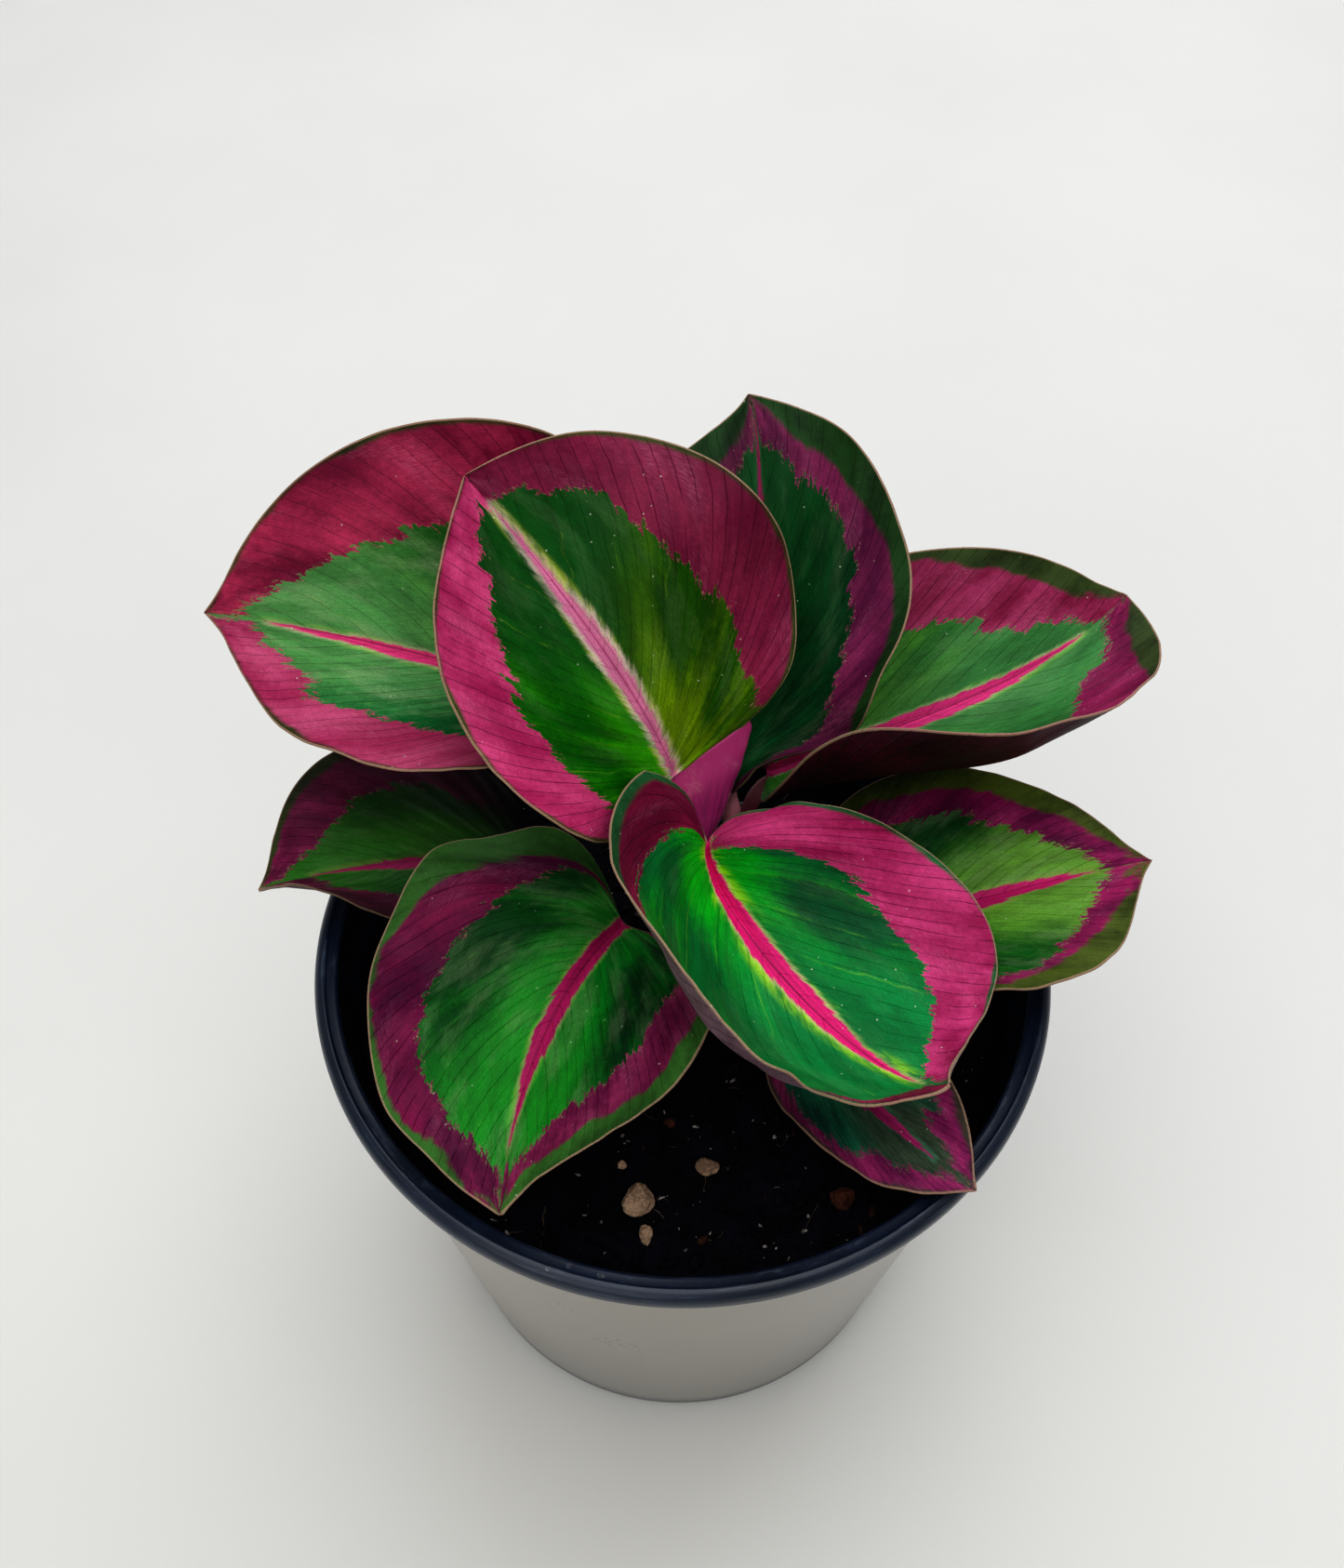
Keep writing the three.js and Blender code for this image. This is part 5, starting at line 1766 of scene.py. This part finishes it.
@dataclass(frozen=True)
class Pot:
    """The round tapered nursery pot with its rolled rim, foot ring and drain holes.

    The sizes are those of the CAD node, and the corners are rounded here.

    Args:
        height, rim_radius, rim_width, rim_depth: of the rim.
        foot_radius, heel_radius, foot_ring: of the foot, its rounding and the ring it stands on.
        wall, floor_rise, disc_radius: of the floor, which is down on the table again at its middle.
        ledge_rise: how far the rim's underside slopes.
        lip_radius, rim_edge, mouth_edge: roundings of the rim below, outside and inside.
        bead: the fine step on the rim, as distances in from its edge and down from its top.
        holes, hole_radius, hole_ring: the drain holes and the ring on which they lie.
        hole_sides, drill_span: points round a hole, and the heights that the drill runs between.
        columns: points round the pot.
    """

    height: float = 98.0
    rim_radius: float = 60.0
    rim_width: float = 4.0
    rim_depth: float = 4.0
    foot_radius: float = 43.5
    heel_radius: float = 1.5
    foot_ring: float = 4.0
    wall: float = 1.0
    floor_rise: float = 2.5
    disc_radius: float = 20.0
    ledge_rise: float = 0.4
    lip_radius: float = 1.4
    rim_edge: float = 2.0
    mouth_edge: float = 0.8
    bead: tuple[tuple[float, float], ...] = ((1.5, 0.03), (1.68, 0.0), (1.86, 0.06), (2.0, 0.24), (2.2, 0.32))
    holes: int = 6
    hole_radius: float = 4.0
    hole_ring: float = 29.0
    hole_sides: int = 48
    drill_span: tuple[float, float] = (-5.0, 10.0)
    columns: int = 288

    def wall_radius(self, height: Array) -> Array:
        """Outer radius of the sloped wall at a height."""
        share = (height - self.heel_radius) / (self.height - self.rim_depth - self.heel_radius)
        return self.foot_radius + (self.rim_radius - self.rim_width + self.wall - self.foot_radius) * share

    def arc(self, centre: tuple[float, float], radius: float, start: float, end: float, steps: int) -> Array:
        """Points of an arc in the profile, between two angles in degrees."""
        angle = np.radians(np.linspace(start, end, steps + 1))
        return np.stack([centre[0] + radius * np.cos(angle), centre[1] + radius * np.sin(angle)], axis=-1)

    def profile(self) -> tuple[Array, int, int]:
        """Radius and height round the pot's section, from under its floor over the rim to the inside.

        Returns:
            (rows, 2) points, and the rows where the pale outer wall starts and ends.
        """
        top = self.height - self.rim_depth
        ring_inner = self.foot_radius - self.heel_radius - self.foot_ring
        ledge = top + self.ledge_rise
        edge, lip, mouth = self.rim_edge, self.lip_radius, self.mouth_edge
        under = [[0.5, 0], [self.disc_radius, 0], [self.disc_radius + self.floor_rise, self.floor_rise],
                 [ring_inner - self.floor_rise, self.floor_rise], [ring_inner, 0]]
        heel = self.arc((self.foot_radius - self.heel_radius, self.heel_radius), self.heel_radius, -90, 0, 8)
        climb = np.linspace(self.heel_radius, ledge, 40)[1:]
        slope = np.stack([self.wall_radius(climb), climb], axis=-1)
        rim = np.concatenate([
            [[self.rim_radius - lip, ledge]],
            self.arc((self.rim_radius - lip, top + lip), lip, -60, 0, 6),
            self.arc((self.rim_radius - edge, self.height - edge), edge, 0, 62, 8),
            np.array([self.rim_radius, self.height]) - self.bead,
            self.arc((self.rim_radius - self.rim_width + mouth, self.height - 1.5 * mouth), mouth, 90, 180, 8),
        ])
        low = 2 * self.heel_radius
        fall = np.linspace(top - self.wall, low, 12)
        inside = np.stack([self.wall_radius(fall) - self.wall, fall], axis=-1)
        floor = [[ring_inner + self.wall, self.wall], [ring_inner, self.wall],
                 [ring_inner - self.floor_rise, self.floor_rise + self.wall],
                 [self.disc_radius + self.floor_rise, self.floor_rise + self.wall],
                 [self.disc_radius, self.wall], [0.5, self.wall]]
        sections = [np.array(under, float), heel, slope, rim, inside, np.array(floor, float)]
        wall_start = len(under) + len(heel) - 1
        return np.concatenate(sections), wall_start, wall_start + len(slope) + 1

    def build(self, groups: Groups) -> Piece:
        """The pot as a body of revolution with its drain holes cut, standing for its CAD node.

        Args:
            groups: the shared shader groups.

        Returns:
            The piece.
        """
        profile, wall_start, wall_end = self.profile()
        angle = around(self.columns)
        rings = turned(profile, angle)
        poles = (np.zeros(3), np.array([0, 0, self.wall]))
        piece = skin("nursery_pot", rings, poles, [NavyPlastic().build(groups), WallPlastic().build(groups)])
        slots = np.zeros((len(profile) - 1, self.columns), np.int32)
        slots[wall_start:wall_end] = 1
        caps = np.zeros(2 * self.columns, np.int32)
        piece.data.polygons.foreach_set("material_index", np.concatenate([slots.ravel(), caps]))
        self.drill(piece)
        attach(piece, BODY)
        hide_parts("pot")
        return piece

    def drill(self, piece: Piece) -> None:
        """Cuts the drain holes with a Boolean modifier and applies it.

        Args:
            piece: the pot.
        """
        sides = self.hole_sides
        turn = around(sides)
        here = np.arange(sides)
        after = (here + 1) % sides
        drills, faces = [], []
        for number in range(self.holes):
            angle = 2 * np.pi * number / self.holes
            centre = np.array([self.hole_ring * math.cos(angle), self.hole_ring * math.sin(angle)])
            circle = centre + self.hole_radius * np.stack([np.cos(turn), np.sin(turn)], axis=-1)
            drills += [np.column_stack([circle, np.full(sides, z)]) for z in self.drill_span]
            start = 2 * sides * number
            faces += (start + np.stack([here, after, sides + after, sides + here], axis=-1)).tolist()
            faces += [(start + here[::-1]).tolist(), (start + sides + here).tolist()]
        cutter = make_object("drill", np.concatenate(drills), faces, [])
        cut = piece.modifiers.new("drain_holes", "BOOLEAN")
        cut.object = cutter
        cut.operation = "DIFFERENCE"
        cut.solver = "EXACT"
        bpy.context.view_layer.objects.active = piece
        with bpy.context.temp_override(object=piece, active_object=piece):
            bpy.ops.object.modifier_apply(modifier=cut.name)
        bpy.data.objects.remove(cutter)


# ---- mix and stones


@dataclass(frozen=True)
class Crumbly:
    """A dull, gritty finish: two-colour clouds, pale flecks, painted shade in pits and a rough relief.

    Args:
        name: name of the material.
        dark, light: the two colours.
        clouds: scales of its coarse and its fine clouds.
        turn: cloud values at which it is dark and at which it is light.
        grit, relief: scale of the grit, and its height in millimetres.
        fleck, flecks: colour and strength of the flecks.
        pits: strength of the painted shade that darkens the low places of the grit.
        shine: how much it reflects.
    """

    name: str
    dark: str
    light: str
    clouds: tuple[float, float]
    turn: tuple[float, float] = (0.36, 0.64)
    grit: float = 2000.0
    relief: float = 0.3
    fleck: str = "2a1e17"
    flecks: float = 0.0
    pits: float = 0.0
    shine: float = 0.3

    def build(self, groups: Groups) -> Material:
        """The shader.

        Args:
            groups: the shared shader groups.

        Returns:
            The material.
        """
        g = Surface(self.name)
        place = g.object_place()
        height, speck = (g.group(groups.grit, key, Place=place, Scale=self.grit) for key in ("Height", "Speck"))
        cloud = groups.cloud(g, *self.clouds)
        base = g.between(g.smooth(cloud, *self.turn), self.dark, self.light)
        base = g.over(base, self.fleck, g.smooth(speck, 0.85, 1.0, 0.0, self.flecks))
        # Painted shade: the low places of the grit darkened as pits.
        base = g.over(base, "241c18", g.smooth(height, 0.25, 0.42, self.pits, 0.0))
        rough = g.smooth(cloud, 0.3, 0.7, 0.68, 0.94)
        return g.finish(base, rough, g.bump(height, self.relief), {"Specular IOR Level": self.shine})


PEAT = Crumbly("damp_peat", "07080f", "1c1a28", (180, 2200), (0.35, 0.7), 900, 0.5, flecks=0.5, shine=0.15)
PALE_GRIT = Crumbly("pale_grit", "5e5a5c", "ccc4bc", (420, 2600), (0.4, 0.62), 2400, 0.15)
BARK_BITS = Crumbly("composted_bark", "18100e", "4c3026", (300, 1800), (0.35, 0.65), 1300, 0.3)
ROOT_HAIR = Crumbly("root_hair", "3a2e26", "857565", (700, 2400), (0.35, 0.65), 1800, 0.05)
PUMICE = Crumbly("loose_pumice", "8a725e", "dcbc9e", (260, 2400), (0.34, 0.62), 1500, 0.3, pits=0.2)
BARK_CHIP = Crumbly("loose_bark", "24140f", "704434", (330, 2400), (0.36, 0.62), 2200, 0.35, pits=0.6)


@dataclass(frozen=True)
class Mix:
    """The dark potting mix: a rough surface, loose crumbs, pale grit, bark bits and root fibres.

    Args:
        edge, mound: height of the surface at the wall and at the crown.
        outer: radius of the mix at the surface.
        pocket, pocket_floor: radius and floor of the hole that the crown stands in.
        floor, floor_radius: height and radius of its underside.
        relief, lumps: height of the CAD node's slow waves, and of the crumbly surface on them.
        columns, rows: points round the bed, and from the wall in to the crown.
        lump_rows, lump_columns: points of a loose lump between its poles, and round it.
        hairs, hair_steps: how many root hairs are tried, and the points along each.
    """

    edge: float = 83.5
    mound: float = 85.0
    outer: float = 54.2
    pocket: float = 9.8
    pocket_floor: float = 75.7
    floor: float = 3.8
    floor_radius: float = 40.6
    relief: float = 0.3
    lumps: float = 0.9
    columns: int = 560
    rows: int = 120
    lump_rows: int = 5
    lump_columns: int = 7
    hairs: int = 70
    hair_steps: int = 9

    def surface(self, x: Array, y: Array) -> Array:
        """Height of the smooth surface: a slope from the crown to the wall with slow waves.

        Args:
            x, y: where.

        Returns:
            The heights.
        """
        radius, angle = np.hypot(x, y), np.arctan2(y, x)
        share = np.clip((radius - self.pocket) / (self.outer - self.pocket), 0, 1)
        waves = np.sin(3 * angle + 0.08 * radius) + np.sin(5 * angle - 0.15 * radius)
        return self.mound + (self.edge - self.mound) * share + self.relief * waves * np.sin(np.pi * share)

    def rough(self, x: Array, y: Array) -> Array:
        """Height of the crumbly surface: the smooth one plus lumps of three sizes.

        Args:
            x, y: where.

        Returns:
            The heights.
        """
        flat = np.stack([x, y, np.zeros_like(x)], axis=-1)
        large, middle, small = noise(flat, 6.0, 2, 3), np.abs(noise(flat, 2.2, 2, 11)), noise(flat, 0.9, 2, 23)
        edge_fade = smoothstep(np.hypot(x, y), self.pocket, self.pocket + 1.5)
        return self.surface(x, y) + self.lumps * (0.55 * large + 0.45 * middle + 0.25 * small) * edge_fade

    def build(self, groups: Groups) -> list[Piece]:
        """The bed, its crumbs, its pale grit, its bark and its root fibres.

        Args:
            groups: the shared shader groups.

        Returns:
            The pieces.
        """
        peat = PEAT.build(groups)
        bed = self.bed(peat)
        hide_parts("soil")
        crumbs = self.scatter("mix_crumbs", 1500, (0.35, 1.5), peat, seed=41)
        grit = self.scatter("pale_grit", 480, (0.09, 0.5), PALE_GRIT.build(groups), seed=57)
        bark = self.scatter("bark_bits", 110, (0.5, 1.3), BARK_BITS.build(groups), seed=63, flat=0.45)
        fibres = self.fibres(ROOT_HAIR.build(groups))
        pieces = [bed, crumbs, grit, bark, fibres]
        for piece in pieces:
            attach(piece, BODY)
        return pieces

    def bed(self, material: Material) -> Piece:
        """The body of the mix, ring by ring from under its middle, up the wall and in to the crown.

        Args:
            material: its finish.

        Returns:
            The piece.
        """
        side_height = np.linspace(self.floor + 2, self.edge - 0.6, 10)
        side_radius = np.interp(side_height, [self.floor, self.edge], [self.floor_radius + 2, self.outer])
        side = np.stack([side_radius, side_height], axis=-1)
        radius_in = np.linspace(self.outer, self.pocket, self.rows)
        angle = around(self.columns)
        lower = np.concatenate([[[1, self.floor], [self.floor_radius, self.floor]], side])
        hole = np.array([[self.pocket, self.pocket_floor], [1, self.pocket_floor]])
        top = turned(np.column_stack([radius_in, radius_in]), angle)
        top[..., 2] = self.rough(top[..., 0], top[..., 1])
        rings = np.concatenate([turned(lower, angle), top, turned(hole, angle)])
        poles = (np.array([0, 0, self.floor]), np.array([0, 0, self.pocket_floor]))
        return skin("potting_mix", rings, poles, [material])

    def scatter(self, name: str, count: int, sizes: tuple[float, float], material: Material,
                seed: int, flat: float = 0.75) -> Piece:
        """Small lumps strewn over the mix, as one mesh.

        A lump is a small ball whose radius varies at random, stretched along three axes, turned about
        the vertical and half sunk in the surface.

        Args:
            name: the piece's name.
            count: number of lumps.
            sizes: smallest and largest radius.
            material: their finish.
            seed: which random lumps they are.
            flat: greatest height of a lump as a share of its radius.

        Returns:
            The piece.
        """
        chance = np.random.default_rng(seed)
        radius = np.sqrt(chance.uniform(self.pocket**2, (self.outer - 1.2) ** 2, count))
        angle = chance.uniform(0, 2 * np.pi, count)
        x, y = radius * np.cos(angle), radius * np.sin(angle)
        size = sizes[0] + (sizes[1] - sizes[0]) * chance.random(count) ** 2.5
        polar = np.linspace(0, np.pi, self.lump_rows + 2)[1:-1]
        turn = around(self.lump_columns)
        ball = np.concatenate([[[0, 0, 1.0]], globe(polar, turn).reshape(-1, 3), [[0, 0, -1.0]]])
        quads, first_fan, last_fan = ring_faces(self.lump_rows, self.lump_columns)
        spin = chance.uniform(0, 2 * np.pi, (count, 2))
        stretch = chance.uniform([0.8, 0.35, flat * 0.5], [1.7, 0.9, flat], (count, 3))
        lumps = ball[None] * chance.uniform(0.62, 1.2, (count, len(ball), 1))
        lumps = lumps * stretch[:, None] * size[:, None, None]
        c, s = np.cos(spin[:, :1]), np.sin(spin[:, :1])
        long, short, up = (lumps[..., axis] for axis in range(3))
        spun = np.stack([long * c - short * s, long * s + short * c, up], axis=-1)
        height = self.rough(x, y) + 0.25 * size * stretch[:, 2]
        vertices = spun + np.stack([x, y, height], axis=-1)[:, None]
        starts = len(ball) * np.arange(count)
        faces = []
        for kind in (quads, first_fan, last_fan):
            faces += (kind[None, :, ::-1] + starts[:, None, None]).reshape(-1, kind.shape[1]).tolist()
        return make_object(name, vertices.reshape(-1, 3), faces, [material])

    def fibres(self, material: Material) -> Piece:
        """Fine root hairs lying on the mix: thin bent tubes of four sides, as one mesh.

        Args:
            material: their finish.

        Returns:
            The piece.
        """
        chance = np.random.default_rng(71)
        steps = self.hair_steps
        vertices, faces = [], []
        for _ in range(self.hairs):
            radius, angle = 12 + 40 * math.sqrt(chance.random()), chance.uniform(0, 2 * np.pi)
            heading = chance.uniform(0, 2 * np.pi) + np.cumsum(chance.normal(0, 0.35, steps))
            step = chance.uniform(0.35, 0.9)
            x = radius * math.cos(angle) + np.cumsum(step * np.cos(heading))
            y = radius * math.sin(angle) + np.cumsum(step * np.sin(heading))
            reach = np.hypot(x, y)
            if reach.max() > self.outer - 1 or reach.min() < self.pocket + 1:
                continue
            z = self.rough(x, y) + 0.12 + 0.5 * np.sin(np.linspace(0, np.pi, steps)) * chance.random()
            path = np.stack([x, y, z], axis=-1)
            thin = np.full(steps, chance.uniform(0.05, 0.13)) * np.linspace(1, 0.4, steps)
            rings = tube_rings(path, np.broadcast_to([0.0, 0.0, 1.0], path.shape), thin, thin, 4)
            quads, first_fan, last_fan = ring_faces(steps, 4)
            start = sum(len(part) for part in vertices)
            vertices.append(with_poles(rings, (path[0], path[-1])))
            for kind in (quads, first_fan, last_fan):
                faces += (kind + start).tolist()
        return make_object("root_fibres", np.concatenate(vertices), faces, [material])


class StoneKind(Enum):
    """What a loose piece on the mix is."""

    PUMICE = "pumice"
    BARK = "bark"


@dataclass(frozen=True)
class Stone:
    """One larger piece on the mix, standing for the CAD node of its name.

    Args:
        name: the CAD node.
        kind: what it is.
        seed: which random facets and pits it gets.
        cuts: broken sides, each the azimuth in degrees and the distance in shares of the box.
        facets: how many more flats it has, turned at random.
        rows, columns: points from pole to pole and round.
    """

    name: str
    kind: StoneKind
    seed: int
    cuts: tuple[tuple[float, float], ...] = ((20, 0.7), (140, 0.72), (265, 0.75))
    facets: int = 6
    rows: int = 40
    columns: int = 72

    def build(self, finishes: dict[StoneKind, Material]) -> Piece:
        """A pitted, angular lump that fills its node's box.

        Args:
            finishes: the materials by kind.

        Returns:
            The piece.
        """
        low, high = (np.array(corner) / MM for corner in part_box(self.name))
        middle, half = (low + high) / 2, (high - low) / 2
        polar = (np.arange(self.rows) + 0.5) * np.pi / self.rows
        turn = around(self.columns)
        ball = globe(polar, turn)
        radius = self.radius(ball)
        poles = tuple(np.array([0, 0, z]) for z in (1.0, -1.0))
        ends = tuple(middle + pole * half * self.radius(pole) for pole in poles)
        rings = middle + ball * radius[..., None] * half
        piece = skin(f"loose_{self.name}", rings, ends, [finishes[self.kind]])
        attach(piece, BODY)
        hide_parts(self.name)
        return piece

    def radius(self, ways: Array) -> Array:
        """Distance from the middle to the surface.

        It is the smallest of the distances to a few cutting planes, o / (way . plane), and a
        ball's, so that flat facets show, less noise for the pits.

        Args:
            ways: (..., 3) unit vectors.

        Returns:
            The distance along each, in shares of the box.
        """
        chance = np.random.default_rng(self.seed)
        turns, distances = np.array(self.cuts).T
        turns = np.radians(turns)
        sides = np.stack([np.cos(turns), np.sin(turns), np.full(len(turns), 0.35)], axis=-1)
        planes = unit(np.concatenate([sides, chance.standard_normal((self.facets, 3))]))
        offsets = np.concatenate([distances, chance.uniform(0.62, 0.9, self.facets)])
        facing = np.maximum(ways @ planes.T, 0.05)
        faceted = np.minimum((offsets / facing).min(axis=-1), 1.0)
        hollows = 0.1 * noise(ways * 2.4, 1.0, 3, self.seed)
        pits = 0.04 * np.minimum(noise(ways * 9, 1.0, 2, self.seed + 2), 0)
        return np.minimum(faceted + hollows + pits, 1.0)


STONES = (
    Stone("pumice_large", StoneKind.PUMICE, 4, ((262, 0.78), (35, 0.7), (152, 0.6), (205, 0.92))),
    Stone("pumice_small", StoneKind.PUMICE, 9, ((300, 0.7), (60, 0.72), (215, 0.62))),
    Stone("pumice_narrow", StoneKind.PUMICE, 12, ((240, 0.55), (320, 0.6), (90, 0.8))),
    Stone("bark_chip", StoneKind.BARK, 15, ((100, 0.55), (200, 0.6), (330, 0.62))),
    Stone("grit_front", StoneKind.BARK, 21),
    Stone("grit_left", StoneKind.PUMICE, 27),
)


STONE_FINISHES = {StoneKind.PUMICE: PUMICE, StoneKind.BARK: BARK_CHIP}


# ---- camera and studio


@dataclass(frozen=True)
class Eye:
    """The camera at the photograph's viewpoint.

    Args:
        place: where it stands.
        pitch: degrees below the horizon, looking along +Y.
        roll: degrees that it is turned about its line of sight.
        focal, frame_height: focal length and picture height in the photograph's pixels.
        sensor: height of the sensor in millimetres.
    """

    place: Triple = (-2.0, -151.0, 339.0)
    pitch: float = 52.7
    roll: float = 0.46
    focal: float = 1863.0
    frame_height: float = 1686.0
    sensor: float = 36.0

    def build(self) -> Piece:
        """The scene's camera, made the active one.

        Returns:
            The camera.
        """
        data = bpy.data.cameras.new("photo_camera")
        data.sensor_fit = "VERTICAL"
        data.sensor_height = self.sensor
        data.lens = self.focal / self.frame_height * self.sensor
        data.clip_start = 0.01
        pitch, roll = math.radians(self.pitch), math.radians(self.roll)
        ahead = Vector((0, math.cos(pitch), -math.sin(pitch)))
        level_right = Vector((1, 0, 0))
        level_up = level_right.cross(ahead)
        right = level_right * math.cos(roll) + level_up * math.sin(roll)
        up = level_up * math.cos(roll) - level_right * math.sin(roll)
        camera = bpy.data.objects.new("photo_camera", data)
        axes = Matrix((right, up, -ahead)).transposed().to_4x4()
        camera.matrix_world = Matrix.Translation(Vector(self.place) * MM) @ axes
        bpy.context.scene.collection.objects.link(camera)
        bpy.context.scene.camera = camera
        return camera


@dataclass(frozen=True)
class Softbox:
    """One soft light.

    Args:
        name: its name.
        place, target: where it stands and where it shines.
        size: its width and depth.
        power: its power in watts.
        tint: its colour.
    """

    name: str
    place: Triple
    target: Triple
    size: tuple[float, float]
    power: float
    tint: str = "ffffff"

    def build(self) -> None:
        """The area light, turned to its target."""
        data = bpy.data.lights.new(self.name, "AREA")
        data.shape = "RECTANGLE"
        data.size, data.size_y = (side * MM for side in self.size)
        data.energy = self.power
        data.color = colour(self.tint)[:3]
        light = bpy.data.objects.new(self.name, data)
        light.location = Vector(self.place) * MM
        aim = Vector(self.target) - Vector(self.place)
        light.rotation_euler = aim.to_track_quat("-Z", "Y").to_euler()
        bpy.context.scene.collection.objects.link(light)


SOFTBOXES = (
    Softbox("window", (250, 900, 900), (0, 0, 80), (1400, 900), 5.2, "f6f8ff"),
    Softbox("ceiling", (0, -100, 1400), (0, 0, 80), (1600, 1600), 11.6, "fbfcff"),
    Softbox("front_fill", (-500, -1100, 700), (0, 0, 80), (1000, 800), 2.4, "fffaf4"),
)


@dataclass(frozen=True)
class TableTop:
    """Off-white satin table top with faint clouding.

    Args:
        pale, cloudy: its two shades.
    """

    pale: str = "dededa"
    cloudy: str = "dbdbd7"

    def build(self) -> Material:
        """The shader.

        Returns:
            The material.
        """
        g = Surface("table_top")
        cloud = g.noise(g.object_place(), 9.0, 4.0)
        base = g.between(g.smooth(cloud, 0.3, 0.7), self.cloudy, self.pale)
        return g.finish(base, g.smooth(cloud, 0.3, 0.7, 0.5, 0.6))


@dataclass(frozen=True)
class Studio:
    """The plain pale floor and the soft light.

    Args:
        floor_size: side of the floor.
        sky, sky_strength: colour and strength of the light from all round.
    """

    floor_size: float = 6000.0
    sky: str = "ecebe8"
    sky_strength: float = 0.24

    def build(self) -> None:
        """Floor, softboxes, sky and the plain colour transform."""
        half = self.floor_size / 2
        corners = np.array([[-half, -half, 0], [half, -half, 0], [half, half, 0], [-half, half, 0]])
        floor = make_object("table_top", corners, [[0, 1, 2, 3]], [TableTop().build()])
        for softbox in SOFTBOXES:
            softbox.build()
        world = bpy.data.worlds.new("studio")
        world.use_nodes = True
        background = world.node_tree.nodes["Background"]
        background.inputs["Color"].default_value = colour(self.sky)
        background.inputs["Strength"].default_value = self.sky_strength
        scene = bpy.context.scene
        scene.world = world
        scene.view_settings.view_transform = "Standard"
        scene.view_settings.look = "High Contrast"


# ---- the whole plant


def main() -> None:
    """Builds the camera, the studio and every piece in order."""
    logging.basicConfig(level=logging.INFO, format="%(name)s: %(message)s")
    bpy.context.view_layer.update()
    Eye().build()
    Studio().build()
    groups = Groups()
    built = [Pot().build(groups)]
    built += Mix().build(groups)
    finishes = {kind: finish.build(groups) for kind, finish in STONE_FINISHES.items()}
    built += [stone.build(finishes) for stone in STONES]
    built += Crown().build(groups)
    undersides = {kind.name: kind.build(groups) for kind in (DARK_UNDERSIDE, LIT_UNDERSIDE)}
    stalks = Stalks()
    stalk_skin, sheath_skin = PLAIN_STALK.build(groups), PINK_SHEATH.build(groups)
    for number, leaf in enumerate(LEAVES):
        blade = Blade(leaf, number)
        built.append(blade.build(groups, undersides))
        built.append(stalks.build(blade, sheath_skin if leaf.name == stalks.sheath_leaf else stalk_skin))
    for piece in built:
        log.info("%s: %d faces", piece.name, len(piece.data.polygons))


if __name__ == "__main__":
    main()
